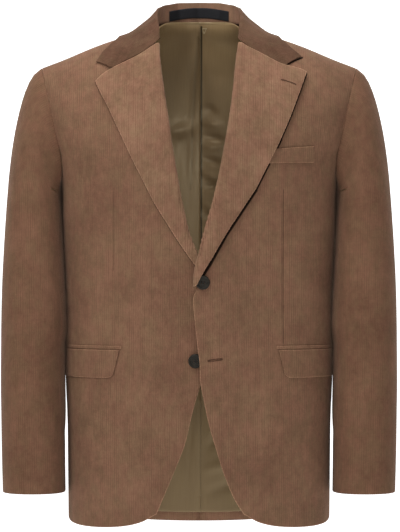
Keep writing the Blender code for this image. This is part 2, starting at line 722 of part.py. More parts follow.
def breast_welt():
    grid = []
    for v in (0.0, 1.0):
        points = []
        for n in range(5):
            s = n / 4
            out = WELT_OUT[0] + (WELT_OUT[1] - WELT_OUT[0]) * s
            low = WELT_BOTTOM_Z[0] + (WELT_BOTTOM_Z[1] - WELT_BOTTOM_Z[0]) * s
            high = WELT_TOP_Z[0] + (WELT_TOP_Z[1] - WELT_TOP_Z[0]) * s
            points.append(front_place(True, out, low + (high - low) * v, CLOTH / 2 + 1.6 * MM))
        grid.append(points)
    return grid


def lining_half(over):
    """Half of the back's lining: one half laps over the other in a pleat down the centre."""
    stand = -(CLOTH / 2 + LINING_STAND)
    under = -(CLOTH / 2 + LINING_UNDER_STAND)
    if over:
        near = ((-0.22, stand), (1.5, stand), (6.0, stand))
    else:
        near = ((-1.35, under), (0.6, under), (2.5, 0.5 * (under + stand)), (6.0, stand))
    wide, narrow = LINING_SIDES
    columns = near + tuple((14.0 + (wide - 14.0) * n / 7, stand) for n in range(8))
    grid = []
    for row in range(LINING_ROWS + 1):
        share = row / LINING_ROWS
        points = []
        for turn, depth in columns:
            s = turn / wide
            top_angle, top_level = back_neck(s)
            rise = max(0.0, (share - CHEST_ROWS) / (1 - CHEST_ROWS))
            level = rise * top_level * LINING_TOP
            if rise == 0:
                low = BACK_HEM_Z + (SIDE_HEM_Z - BACK_HEM_Z) * smooth(abs(s)) + LINING_HEM_CLEAR
                level = (low - CHEST_LEVEL) * (1 - share / CHEST_ROWS)
            side = wide + (narrow - wide) * window(level, -0.06, 0.03)
            angle = math.radians(turn if turn <= 14.0 else 14.0 + (turn - 14.0) * (side - 14.0) / (wide - 14.0))
            angle += (top_angle - angle) * smooth(rise)
            points.append(BACK.off(angle, level, depth - 1.2 * MM * window(rise, 0.4, 0.66)))
        grid.append(points)
    grid.append([lining_neck(below, point, column[1]) for below, point, column in zip(grid[-2], grid[-1], columns)])
    return grid


def lining_neck(below, point, depth):
    """A point of the lining's neck edge, on the collar's stand, or a little higher under the shoulder."""
    if abs(point.x) > LINING_NECK_END:
        return point + (point - below).normalized() * 0.6 * MM - Vector((0, 0.9, 0)) * MM
    near, share = LINING_NECK_STAND
    inward = near + (-depth - CLOTH / 2 - LINING_UNDER_STAND) * share
    seam_z = read(COLLAR_SEAM, "out", "z", abs(point.x))
    return stand_point(point.x, seam_z + LINING_NECK_LIFT, inward)


def stand_point(x, z, inward):
    """A point on the inside of the collar's stand."""
    rows = [[Vector(part) * MM for part in section] for section in COLLAR]
    away = abs(x)
    for first, second in zip(rows, rows[1:]):
        if away <= second[0].x:
            share = (away - first[0].x) / (second[0].x - first[0].x)
            seam, fold = first[0].lerp(second[0], share), first[1].lerp(second[1], share)
            run = second[0] - first[0]
            break
    normal = Vector((-math.copysign(1, x) * run.y, run.x, 0)).normalized()
    point = seam.lerp(fold, (z - seam.z) / (fold.z - seam.z))
    return Vector((x, point.y, z)) - normal * inward


def label():
    """A bare woven label on the inside of the collar's stand."""
    grid = []
    for z in LABEL_Z:
        points = []
        for n in range(-6, 7):
            x = LABEL_HALF * n / 6
            drop = LABEL_DROP * (x / LABEL_HALF) ** 2
            points.append(stand_point(x, z - drop, LAPEL_WALL / 2 + 1.1 * MM))
        grid.append(points)
    return grid


def button(name, upper, seen, finish, home):
    """A round button lying on a front, with softened rims."""
    out = seen[0] if upper else -seen[0]
    stand = CLOTH / 2 + SEAM_GAP + BUTTON_THICK / 2
    centre = front_place(upper, out, seen[1], stand)
    side = 1 if upper else -1
    centre.x *= side
    mesh = bpy.data.meshes.new(name)
    bm = bmesh.new()
    bmesh.ops.create_cone(bm, cap_ends=True, segments=24, radius1=BUTTON_RADIUS, radius2=BUTTON_RADIUS,
                          depth=BUTTON_THICK)
    bm.to_mesh(mesh)
    bm.free()
    mesh.materials.append(finish)
    made = bpy.data.objects.new(name, mesh)
    made.location = centre
    made.rotation_euler = (math.pi / 2, 0, 0)
    home.objects.link(made)
    rim = made.modifiers.new("rim", "BEVEL")
    rim.width = 0.9 * MM
    rim.segments = 2
    rim.limit_method = "ANGLE"
    return made


# ---- the jacket ---------------------------------------------------------------------------------
def both_sides(name, grid_of, thickness, finish, home, even=True):
    """A piece on each side: grid_of(True) is the wearer's left, whose front laps over."""
    wall(f"{name}_left", grid_of(True), thickness, finish, home, even)
    wall(f"{name}_right", mirrored(grid_of(False)), thickness, finish, home, even)


def build():
    for old in list(bpy.data.objects):
        bpy.data.objects.remove(old, do_unlink=True)
    home = collection("corduroy_jacket")
    cord = material("corduroy", (0.19, 0.115, 0.075), 0.9)
    satin = material("lining_satin", (0.11, 0.075, 0.04), 0.5)
    dark = material("button_horn", (0.02, 0.018, 0.014), 0.35)
    black = material("label_cloth", (0.012, 0.012, 0.014), 0.7)

    both_sides("front", front_panel, CLOTH, cord, home)
    both_sides("lapel", lapel, LAPEL_WALL, cord, home, even=False)
    both_sides("flap", flap, CLOTH, cord, home)
    both_sides("jet", jet, 1.2 * MM, cord, home)
    back = [list(reversed(row)) for row in back_panel()]
    wall("back_left", back, CLOTH, cord, home)
    wall("back_right", mirrored(back), CLOTH, cord, home)
    wall("collar", collar(), LAPEL_WALL, cord, home, even=False)
    for name, turns, count in (("top_sleeve", TOP_SLEEVE, 15), ("under_sleeve", UNDER_SLEEVE, 8)):
        grid = sleeve_grid(turns, count)
        wall(f"{name}_left", grid, CLOTH, cord, home)
        wall(f"{name}_right", mirrored(grid), CLOTH, cord, home)
    wall("breast_welt", breast_welt(), 1.8 * MM, cord, home)
    button("button_top", True, TOP_BUTTON, dark, home)
    button("button_lower", False, LOWER_BUTTON, dark, home)
    lining = [list(reversed(row)) for row in lining_half(False)]
    wall("lining_left", lining, LINING, satin, home)
    other = [list(reversed(row)) for row in lining_half(True)]
    wall("lining_right", mirrored(other), LINING, satin, home)
    wall("label", label(), 1.0 * MM, black, home)


build()
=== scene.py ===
"""The looks of a two-button corduroy jacket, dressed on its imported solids.

Metres. +X is the wearer's left, +Y the wearer's back, +Z up. The origin is between the shoulders.
Every piece of cloth is cut flat along its cords, laid on its solid's form and given its thickness.
"""

import logging
import math
from dataclasses import dataclass, field
from enum import Enum
from functools import cache
from typing import Callable, Sequence

import bmesh
import bpy
import numpy as np
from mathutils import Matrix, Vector
from mathutils.geometry import delaunay_2d_cdt
from mathutils.kdtree import KDTree


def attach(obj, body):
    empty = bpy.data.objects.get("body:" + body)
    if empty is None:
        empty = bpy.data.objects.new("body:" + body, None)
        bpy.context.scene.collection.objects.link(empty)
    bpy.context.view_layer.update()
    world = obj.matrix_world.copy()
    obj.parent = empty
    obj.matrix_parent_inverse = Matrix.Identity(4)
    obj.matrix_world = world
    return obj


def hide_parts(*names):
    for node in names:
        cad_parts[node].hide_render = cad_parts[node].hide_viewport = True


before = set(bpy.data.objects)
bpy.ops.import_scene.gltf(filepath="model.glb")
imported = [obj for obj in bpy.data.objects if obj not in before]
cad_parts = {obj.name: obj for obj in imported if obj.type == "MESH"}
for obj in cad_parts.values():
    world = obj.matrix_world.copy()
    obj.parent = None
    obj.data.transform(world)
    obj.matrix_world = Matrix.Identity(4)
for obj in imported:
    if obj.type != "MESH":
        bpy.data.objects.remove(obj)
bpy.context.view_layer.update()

LOG = logging.getLogger("jacket")
MM = 0.001
Array = np.ndarray


# ---- curves -------------------------------------------------------------------------------------
def ease(share: Array) -> Array:
    """Ease from 0 to 1."""
    share = np.clip(share, 0.0, 1.0)
    return share * share * (3.0 - 2.0 * share)


def window(value: Array, low: float, high: float) -> Array:
    """0 at low and 1 at high, eased."""
    return ease((value - low) / (high - low))


def signed_power(value: Array, power: float) -> Array:
    """A superellipse's share of its half width or depth, from a sine or cosine."""
    return np.sign(value) * np.abs(value) ** (2.0 / power)


def between(first: Array, last: Array, share: Array) -> Array:
    """What lies at a share of the way from one value or point to another."""
    return first + (last - first) * share


def unit(vector: Array) -> Array:
    """A vector, made 1 long."""
    return vector / np.linalg.norm(vector)


def running(steps: Array) -> Array:
    """Running totals along the last axis, from 0."""
    return np.concatenate([np.zeros((*steps.shape[:-1], 1)), np.cumsum(steps, axis=-1)], axis=-1)


class Trace:
    """A smooth curve through rows of (key, value)."""

    def __init__(self, *rows: tuple[float, float]) -> None:
        """Sort the rows and work out the slopes at them."""
        table = np.array(rows, float)
        self.keys, self.values = table[np.argsort(table[:, 0])].T
        last = len(self.keys) - 1
        low = np.maximum(np.arange(last + 1) - 1, 0)
        high = np.minimum(np.arange(last + 1) + 1, last)
        self.slopes = (self.values[high] - self.values[low]) / (self.keys[high] - self.keys[low])

    def __call__(self, key: Array) -> Array:
        """Read the curve.

        Args:
            key: One key or an array of them.

        Returns:
            The values there, held at the ends.
        """
        key = np.clip(key, self.keys[0], self.keys[-1])
        i = np.clip(np.searchsorted(self.keys, key, side="right") - 1, 0, len(self.keys) - 2)
        span = self.keys[i + 1] - self.keys[i]
        t = (key - self.keys[i]) / span
        return (
            self.values[i] * (1 + 2 * t) * (1 - t) ** 2
            + self.values[i + 1] * t * t * (3 - 2 * t)
            + self.slopes[i] * span * t * (1 - t) ** 2
            - self.slopes[i + 1] * span * t * t * (1 - t)
        )


def along(points: Array, share: Array) -> Array:
    """Points at shares of the length of a polyline."""
    lengths = running(np.linalg.norm(np.diff(points, axis=0), axis=1))
    want = np.asarray(share) * lengths[-1]
    return np.stack([np.interp(want, lengths, points[:, k]) for k in range(points.shape[1])], -1)


# ---- the worn form ------------------------------------------------------------------------------
HALF_WIDTH = Trace(
    (-0.043, 0.257), (-0.083, 0.2440), (-0.143, 0.2260), (-0.175, 0.2148), (-0.216, 0.2042),
    (-0.270, 0.2026), (-0.330, 0.2008), (-0.390, 0.1988), (-0.470, 0.1968), (-0.600, 0.1955),
    (-0.745, 0.1940),
)
FRONT_DEPTH = Trace(
    (-0.043, 0.123), (-0.175, 0.123), (-0.216, 0.123), (-0.270, 0.122), (-0.330, 0.120),
    (-0.390, 0.119), (-0.470, 0.121), (-0.600, 0.125), (-0.745, 0.128),
)
BACK_DEPTH = Trace(
    (-0.043, 0.127), (-0.083, 0.127), (-0.143, 0.128), (-0.175, 0.128), (-0.216, 0.126),
    (-0.270, 0.121), (-0.330, 0.115), (-0.390, 0.113), (-0.470, 0.120), (-0.600, 0.131),
    (-0.745, 0.137),
)
CHEST_Z = -0.175  # above this height the body arches over to the shoulder seams
SEAM_Y = 0.004
SHOULDER_HALF = 0.235
SHOULDER_POINT_Z = -0.043
NECK_HALF = 0.070
UNDERARM_Z = -0.216
SIDE_HEM_Z = -0.712
BACK_HEM_Z = -0.734
CLOTH = 2.0 * MM
LAPEL_WALL = 2.2 * MM
LINING = 1.2 * MM
ARMHOLE = Trace(
    (SHOULDER_POINT_Z, 0.9145), (-0.083, 0.920), (-0.143, 0.932), (-0.175, 0.946), (-0.195, 0.965),
    (-0.208, 0.985), (UNDERARM_Z, 1.0),
)


def shoulder_z(out: Array) -> Array:
    """Height of the shoulder seam above a distance from the centre."""
    out = np.abs(out)
    rise = np.maximum(0.0, 1.0 - (out / 0.100) ** 2) ** 2
    padding = np.maximum(0.0, 1.0 - ((out - 0.150) / 0.060) ** 2) ** 2
    return SHOULDER_POINT_Z + 0.374 * (SHOULDER_HALF - out) + 0.0115 * rise + 2.2 * MM * padding


@dataclass(frozen=True)
class Face:
    """One face of the body, front or back.

    A level up to 0 is metres below the chest, and 0 to 1 runs over the arch to the shoulder seam.
    An angle is 0 at the centre and a quarter turn at the side.

    Attributes:
        sign: -1 for the front and 1 for the back.
        depth: From heights to metres from the middle to the face.
        plan: Squareness of its outline, seen from above.
        arch: Squareness of the arch over the chest, seen from the side.
        top: Level of the cloth's edge at the shoulder seam.
        arch_length: Metres of cloth over the arch.
    """

    sign: int
    depth: Trace
    plan: float
    arch: float
    top: float
    arch_length: float

    def point(self, angle: Array, level: Array) -> Array:
        """Points by angle and level."""
        angle, level = np.broadcast_arrays(np.asarray(angle, float), np.asarray(level, float))
        across = signed_power(np.sin(angle), self.plan)
        lean = np.clip(level, 0.0, 1.0) * math.pi / 2
        rise = np.sin(lean) ** (2.0 / self.arch)
        x = across * 0.24  # a first guess, which the loop corrects
        z = np.full_like(x, CHEST_Z)
        for _ in range(8):
            z = CHEST_Z + (shoulder_z(x) - CHEST_Z) * rise
            x = across * HALF_WIDTH(z)
        low = level <= 0
        z = np.where(low, CHEST_Z + level, z)
        x = np.where(low, across * HALF_WIDTH(z), x)
        over = np.where(low, 1.0, np.maximum(np.cos(lean), 0.0) ** (2.0 / self.arch))
        depth = self.depth(z) * np.maximum(np.cos(angle), 0.0) ** (2.0 / self.plan)
        seam = SEAM_Y * self.sign
        return np.stack([x, self.sign * (seam + (depth - seam) * over), z], -1)

    def place(self, out: Array, z: Array) -> tuple[Array, Array]:
        """Angle and level of what is seen at a distance out from the centre and a height."""
        ratio = np.clip(out / HALF_WIDTH(z), -1.0, 1.0)
        angle = np.arcsin(np.sign(ratio) * np.abs(ratio) ** (self.plan / 2))
        rise = np.clip((z - CHEST_Z) / (shoulder_z(out) - CHEST_Z), 0.0, 1.0)
        level = np.arcsin(rise ** (self.arch / 2)) * 2 / math.pi
        return angle, np.where(np.asarray(z) <= CHEST_Z, z - CHEST_Z, level)

    def normal(self, angle: Array, level: Array) -> Array:
        """Outward normals."""
        turn, rise = 0.01, 0.004
        across = self.point(angle + turn, level) - self.point(angle - turn, level)
        up = self.point(angle, np.minimum(level + rise, 0.999)) - self.point(angle, level - rise)
        found = np.cross(across, up) * -self.sign
        return found / np.linalg.norm(found, axis=-1, keepdims=True)

    def off(self, angle: Array, level: Array, stand: Array) -> Array:
        """Points moved out from the face."""
        return self.point(angle, level) + self.normal(angle, level) * np.asarray(stand)[..., None]


FRONT = Face(-1, FRONT_DEPTH, 2.4, 1.85, 0.9975, 0.25)
BACK = Face(1, BACK_DEPTH, 2.5, 2.5, 0.9996, 0.24)
SIDE_ANGLE = math.pi / 2 - 0.00004
SEAM_REACH = 0.0025  # angles nearer to the side than this lie on the side seam


def armhole_place(face: Face, z: Array) -> tuple[Array, Array]:
    """Angle and level of the armhole's edge at heights from the underarm to the shoulder point."""
    angle, level = face.place(ARMHOLE(z) * HALF_WIDTH(z), z)
    return np.minimum(angle, SIDE_ANGLE), level


class Side(Enum):
    """The two fronts: the wearer's left one laps over the right one."""

    UPPER = "left"
    UNDER = "right"

    @property
    def upper(self) -> bool:
        """Whether this front laps over the other."""
        return self is Side.UPPER


EDGE = {  # front edges as seen from the front: height, distance out from the centre
    Side.UPPER: Trace(
        (-0.010, 0.0583), (-0.037, 0.0543), (-0.097, 0.0481), (-0.185, 0.0334), (-0.243, 0.0203),
        (-0.294, 0.0058), (-0.320, 0.0), (-0.342, -0.0058), (-0.368, -0.0076), (-0.396, -0.0081),
        (-0.422, -0.0058), (-0.455, -0.0023), (-0.480, 0.0008), (-0.510, 0.0022), (-0.534, 0.0067),
        (-0.568, 0.0141), (-0.603, 0.0240), (-0.642, 0.0363), (-0.677, 0.0508), (-0.700, 0.0650),
    ),
    Side.UNDER: Trace(
        (-0.010, 0.0591), (-0.037, 0.0573), (-0.112, 0.0466), (-0.214, 0.0305), (-0.294, 0.0131),
        (-0.320, 0.0015), (-0.345, -0.0080), (-0.370, -0.0150), (-0.400, -0.0180),
        (-0.440, -0.0160), (-0.480, -0.0105), (-0.515, -0.0015), (-0.539, 0.0058), (-0.568, 0.0131),
        (-0.598, 0.0203), (-0.632, 0.0334), (-0.667, 0.0479), (-0.700, 0.0620),
    ),
}
FRONT_HEM = Trace(  # distance out, height
    (0.0640, -0.700), (0.0765, -0.7125), (0.0960, -0.7195), (0.1300, -0.7215), (0.1660, -0.7185),
    (0.1943, SIDE_HEM_Z),
)
LAPEL_EDGE = {  # distance out, height, from the tip to the end of the roll
    Side.UPPER: np.array([
        (0.1575, -0.0560), (0.1482, -0.081), (0.1345, -0.117), (0.1181, -0.155), (0.0815, -0.228),
        (0.0378, -0.294), (0.0145, -0.336), (0.0035, -0.353), (-0.0030, -0.3665),
    ]),
    Side.UNDER: np.array([
        (0.1520, -0.0690), (0.1462, -0.083), (0.1355, -0.102), (0.1301, -0.113), (0.1004, -0.177),
        (0.0640, -0.250), (0.0276, -0.3085), (0.0080, -0.336), (-0.0050, -0.352),
    ]),
}
GORGE = {
    Side.UPPER: np.array([
        (0.0583, -0.0100), (0.0914, -0.0295), (0.1238, -0.0465), (0.1450, -0.0500),
        (0.1575, -0.0560),
    ]),
    Side.UNDER: np.array([
        (0.0591, -0.0100), (0.0900, -0.0305), (0.1275, -0.0490), (0.1415, -0.0580),
        (0.1520, -0.0690),
    ]),
}
FOLD_HALF = 3.0 * MM  # half thickness of the lapel's rolled edge
LAP_STAND = {Side.UPPER: 7.8 * MM, Side.UNDER: -1.5 * MM}  # off the body's form at the closure
LAP_OUT = (0.012, 0.085)  # distances out between which the lap fades
LAP_LOW, LAP_HIGH = (-0.62, -0.50), (-0.30, -0.16)  # heights between which it opens
EDGE_ROLL_END = {Side.UPPER: -0.376, Side.UNDER: -0.362}  # heights where the lapels' rolls end


def lap_stand(side: Side, out: Array, z: Array) -> Array:
    """How far a front stands off the body's form where the two fronts cross."""
    near, closed = 1.0 - window(out, *LAP_OUT), window(z, *LAP_LOW)
    level = closed * (1.0 - 0.55 * window(z, *LAP_HIGH))
    return LAP_STAND[side] * near * (level + 0.35 * (1.0 - closed))


def front_place(side: Side, out: Array, z: Array, stand: Array) -> Array:
    """Points off the middle of a front's wall by stand, always as the wearer's left side."""
    return FRONT.off(*FRONT.place(out, z), stand + lap_stand(side, out, z))


def front_edge(side: Side, z: Array) -> Array:
    """Distance out of a front's own edge: inside the rolled lapel, or seen below it."""
    end = EDGE_ROLL_END[side]
    inset = (FOLD_HALF + 1.8 * MM) * window(z, end - 0.008, end + 0.004)
    neck = window(z, -0.012, float(shoulder_z(NECK_HALF)))
    return between(EDGE[side](z) + inset * (1 - neck), NECK_HALF, neck)


# ---- surfaces and the straight grain ------------------------------------------------------------
def table_read(table: Array, row: Array, column: Array) -> Array:
    """Read a table between its entries."""
    rows, columns = table.shape[:2]
    row, column = np.clip(row, 0, rows - 1), np.clip(column, 0, columns - 1)
    r, c = np.minimum(row.astype(int), rows - 2), np.minimum(column.astype(int), columns - 2)
    fr, fc = row - r, column - c
    low = table[r, c] * (1 - fc) + table[r, c + 1] * fc
    high = table[r + 1, c] * (1 - fc) + table[r + 1, c + 1] * fc
    return low * (1 - fr) + high * fr


class Net:
    """A smooth surface through a net of points, rows along the cloth and columns across it."""

    def __init__(self, points: Array) -> None:
        """Keep the points."""
        self.points = points

    def sampled(self, fineness: int) -> tuple[Array, Array, Array]:
        """Column and row numbers close together, and the points there."""
        rows, columns = self.points.shape[:2]
        across = np.linspace(0, columns - 1, (columns - 1) * fineness + 1)
        up = np.linspace(0, rows - 1, (rows - 1) * 5 + 1)
        return across, up, self.point(*np.meshgrid(across, up))

    @staticmethod
    def _weights(t: Array) -> tuple[Array, ...]:
        """Catmull-Rom weights of four neighbours."""
        return (
            0.5 * (-t + 2 * t * t - t ** 3), 0.5 * (2 - 5 * t * t + 3 * t ** 3),
            0.5 * (t + 4 * t * t - 3 * t ** 3), 0.5 * (t ** 3 - t * t),
        )

    def point(self, column: Array, row: Array) -> Array:
        """Points by column and row numbers."""
        rows, columns = self.points.shape[:2]
        column, row = np.broadcast_arrays(np.asarray(column, float), np.asarray(row, float))
        column = np.clip(column, 0, columns - 1)
        row = np.clip(row, 0, rows - 1)
        c = np.minimum(column.astype(int), columns - 2)
        r = np.minimum(row.astype(int), rows - 2)
        wc, wr = self._weights(column - c), self._weights(row - r)
        padded = np.pad(self.points, ((1, 1), (1, 1), (0, 0)), mode="reflect", reflect_type="odd")
        total = np.zeros((*np.shape(column), 3))
        for i in range(4):
            for j in range(4):
                total += padded[r + i, c + j] * (wr[i] * wc[j])[..., None]
        return total

    def normal(self, column: Array, row: Array) -> Array:
        """Outward normals."""
        step = 0.05
        across = self.point(column + step, row) - self.point(column - step, row)
        up = self.point(column, row + step) - self.point(column, row - step)
        found = np.cross(across, up)
        return found / np.maximum(np.linalg.norm(found, axis=-1, keepdims=True), 1e-12)


@dataclass
class Grain:
    """Straight-grain coordinates of a surface: metres across and metres along the cords.

    Attributes:
        across: The surface's own coordinate across, one for each column of lengths.
        rows: The surface's own coordinate along, one for each row of lengths.
        lengths: Metres across from the grain line, by row and column.
        heights: Metres along the grain of each row.
    """

    across: Array
    rows: Array
    lengths: Array
    heights: Array
    inverse: Array = field(init=False)
    reach: Array = field(init=False)

    def __post_init__(self) -> None:
        """Tabulate the way back from metres to the surface."""
        self.reach = np.arange(self.lengths.min(), self.lengths.max() + MM, MM)
        self.inverse = np.array([np.interp(self.reach, row, self.across) for row in self.lengths])

    @classmethod
    def measure(cls, point: Callable[[Array, Array], Array], across: Array, rows: Array,
                line: float, heights: Array,
                weights: Sequence[float] = (1.0, 1.0, 1.0)) -> "Grain":
        """Measure a surface along its rows.

        Args:
            point: The surface.
            across: Its coordinates across, which include the grain line.
            rows: Its coordinates along.
            line: The grain line's coordinate across.
            heights: Metres along the grain of each row.
            weights: How much of each axis counts.

        Returns:
            The straight grain.
        """
        points = point(across[None, :], rows[:, None] + 0 * across[None, :]) * np.array(weights)
        lengths = running(np.linalg.norm(np.diff(points, axis=1), axis=2))
        zero = np.array([np.interp(line, across, row) for row in lengths])
        return cls(across, rows, lengths - zero[:, None], heights)

    def flat(self, column: Array, row: Array) -> tuple[Array, Array]:
        """Metres across and along of points of the surface."""
        i = np.interp(row, self.rows, np.arange(len(self.rows)))
        j = np.interp(column, self.across, np.arange(len(self.across)))
        return table_read(self.lengths, i, j), np.interp(row, self.rows, self.heights)

    def shape(self, u: Array, v: Array) -> tuple[Array, Array]:
        """The surface's coordinates of points given in metres."""
        row = np.interp(v, self.heights, self.rows)
        i = np.interp(v, self.heights, np.arange(len(self.rows)))
        j = np.interp(u, self.reach, np.arange(len(self.reach)))
        return table_read(self.inverse, i, j), row


def body_grain(face: Face) -> Grain:
    """The straight grain of the front or back, from the centre."""
    share = np.linspace(-0.35, 1.0, 406)
    angles = np.sign(share) * np.abs(share) ** 1.3 * math.pi / 2
    levels = np.concatenate([np.linspace(-0.580, 0.0, 70), np.linspace(0.0, 1.0, 80)[1:]])
    heights = np.where(levels <= 0, levels, levels * face.arch_length)
    return Grain.measure(face.point, angles, levels, 0.0, heights, (1.0, 1.0, 0.0))


# ---- cutting and laying cloth -------------------------------------------------------------------
@dataclass(frozen=True)
class Cords:
    """The raised cords of the corduroy.

    Attributes:
        pitch: Metres from cord to cord.
        height: Metres from the ground between the cords to their tops.
        steps: Where across a cord its mesh has points.
        fullness: How square the cord's section is.
    """

    pitch: float = 3.3 * MM
    height: float = 0.30 * MM
    steps: tuple[float, ...] = (0.0, 0.17, 0.5, 0.83)
    fullness: float = 2.6

    def columns(self, low: float, high: float) -> Array:
        """Places across the cloth where its mesh has columns."""
        first, last = math.floor(low / self.pitch) - 1, math.ceil(high / self.pitch) + 1
        places = [n + step for n in range(first, last) for step in self.steps]
        return np.array(places) * self.pitch

    def relief(self, u: Array) -> Array:
        """Height of the cords' surface below their tops, at places across the cloth."""
        turn = np.mod(u / self.pitch, 1.0)
        return -self.height * np.abs(2.0 * turn - 1.0) ** self.fullness


CORDS = Cords()


@dataclass(frozen=True)
class Making:
    """How a piece of cloth is made up.

    Attributes:
        thickness: Metres through it.
        row: Metres between the outer face's rows of points.
        roll: How far its rim is rounded.
        coarse: Columns and rows of the inner face, in metres.
        column: Metres between the outer face's columns of points, or None for corduroy.
        inset: Metres from the edge to a further row of points inside it.
    """

    thickness: float = CLOTH
    row: float = 10 * MM
    roll: float = 0.4 * MM
    coarse: tuple[float, float] = (12 * MM, 16 * MM)
    column: float | None = None
    inset: float = 1.4 * MM


@dataclass(frozen=True)
class Crease:
    """A soft trough or ridge between two places, as seen from the front or laid out flat.

    Attributes:
        start: First end, across and along.
        end: Other end.
        width: Metres to where its depth has mostly gone.
        depth: Metres out, or in where it is negative.
    """

    start: tuple[float, float]
    end: tuple[float, float]
    width: float
    depth: float

    def relief(self, x: Array, z: Array) -> Array:
        """How far the cloth is moved out at these places."""
        a, b = np.array(self.start), np.array(self.end)
        run = b - a
        share = ((x - a[0]) * run[0] + (z - a[1]) * run[1]) / (run @ run)
        near = np.clip(share, 0.0, 1.0)
        away = np.hypot(x - a[0] - near * run[0], z - a[1] - near * run[1])
        taper = 0.35 + 0.65 * np.sin(math.pi * near)
        return self.depth * taper * np.exp(-((away / self.width) ** 2))


def span(low: float, high: float, step: float) -> Array:
    """Evenly spaced places a little past both ends."""
    return np.arange(math.floor(low / step) - 1, math.ceil(high / step) + 2) * step


def inside(outline: Array, x: Array, y: Array) -> Array:
    """Which points lie inside a closed outline."""
    found = np.zeros(x.shape, bool)
    for (ax, ay), (bx, by) in zip(outline, np.roll(outline, -1, axis=0)):
        if ay == by:
            continue
        crosses = (y > min(ay, by)) & (y <= max(ay, by))
        found ^= crosses & (x < ax + (y - ay) * (bx - ax) / (by - ay))
    return found


TRACE_STEP, TRACE_MOST = 0.3 * MM, 400  # of the points that stand for each side of an outline


def distance_to(outline: Array, x: Array, y: Array) -> Array:
    """Distance of points from a closed outline, to about 0.15 mm."""
    ends = np.roll(outline, -1, axis=0)
    counts = np.ceil(np.linalg.norm(ends - outline, axis=1) / TRACE_STEP).astype(int)
    counts = np.clip(counts, 1, TRACE_MOST)
    trace = np.concatenate([between(a, b, (np.arange(n) / n)[:, None])
                            for a, b, n in zip(outline, ends, counts)])
    tree = KDTree(len(trace))
    for n, point in enumerate(trace.tolist()):
        tree.insert((*point, 0.0), n)
    tree.balance()
    return np.array([tree.find((a, b, 0.0))[2] for a, b in zip(x.tolist(), y.tolist())])


RIM_STEP = 0.12 * MM  # the least between two points of a rim
RIM_PULL = 0.4  # share of the rounding by which the rim is also drawn in
AWAY_MOST = 0.02  # distances from a piece's edge are kept up to this
SHEET_LEAST, SHEET_FILL = 0.0101, 0.31  # the least width, and share of its rectangle, of a sheet


@dataclass
class Cut:
    """The flat mesh of one piece: a rim on its outline, with columns and rows inside it."""

    outline: Array
    rim: Array

    @staticmethod
    def resample(outline: Array, columns: Array, rows: Array) -> Array:
        """An outline's points, with one wherever it crosses a column or a row."""
        made: list[Array] = []
        for a, b in zip(outline, np.roll(outline, -1, axis=0)):
            shares = [0.0]
            for axis, lines in ((0, columns), (1, rows)):
                low, high = sorted((a[axis], b[axis]))
                if high - low > 1e-9:
                    hit = lines[(lines > low) & (lines < high)]
                    shares.extend((hit - a[axis]) / (b[axis] - a[axis]))
            for share in sorted(shares):
                point = a + (b - a) * share
                if not made or np.linalg.norm(point - made[-1]) > RIM_STEP:
                    made.append(point)
        return np.array(made)

    def triangles(self, columns: Array, rows: Array, inset: float) -> tuple[Array, Array]:
        """Fill the rim.

        Args:
            columns: Places across with points inside.
            rows: Places along with points inside.
            inset: Distance inside the outline of a further row of points, or 0.

        Returns:
            The points, rim first, and the triangles, all anticlockwise.
        """
        row = float(rows[1] - rows[0])
        stretch = row / float(np.mean(np.diff(columns)))
        scale = np.array([stretch, 1.0])
        x, y = (grid.ravel() for grid in np.meshgrid(columns, rows))
        if inset:
            x = np.concatenate([x, self.rim[:, 0], self.rim[:, 0]])
            y = np.concatenate([y, self.rim[:, 1] + inset, self.rim[:, 1] - inset])
        keep = inside(self.outline, x, y)
        x, y = x[keep], y[keep]
        gap = distance_to(self.outline * scale, x * stretch, y)
        on_row = np.min(np.abs(y[:, None] - rows[None, :]), axis=1) < 1e-9
        limit = np.where(on_row, 0.3 * row, 0.5 * inset)
        keep = gap > limit
        inner = np.stack([x[keep], y[keep]], -1)
        points = np.concatenate([self.rim, inner])
        count = len(self.rim)
        _, _, faces, origins, _, marks = delaunay_2d_cdt(
            [Vector(p) for p in points * scale * 100.0], [], [list(range(count))], 0, 1e-5, True)
        back = np.array([ids[0] if ids else 0 for ids in origins])
        return points, back[np.array([face for face, mark in zip(faces, marks) if mark], int)]


Lay = Callable[[Array, Array], tuple[Array, Array]]
Relief = Callable[[Array, Array, Array], Array]


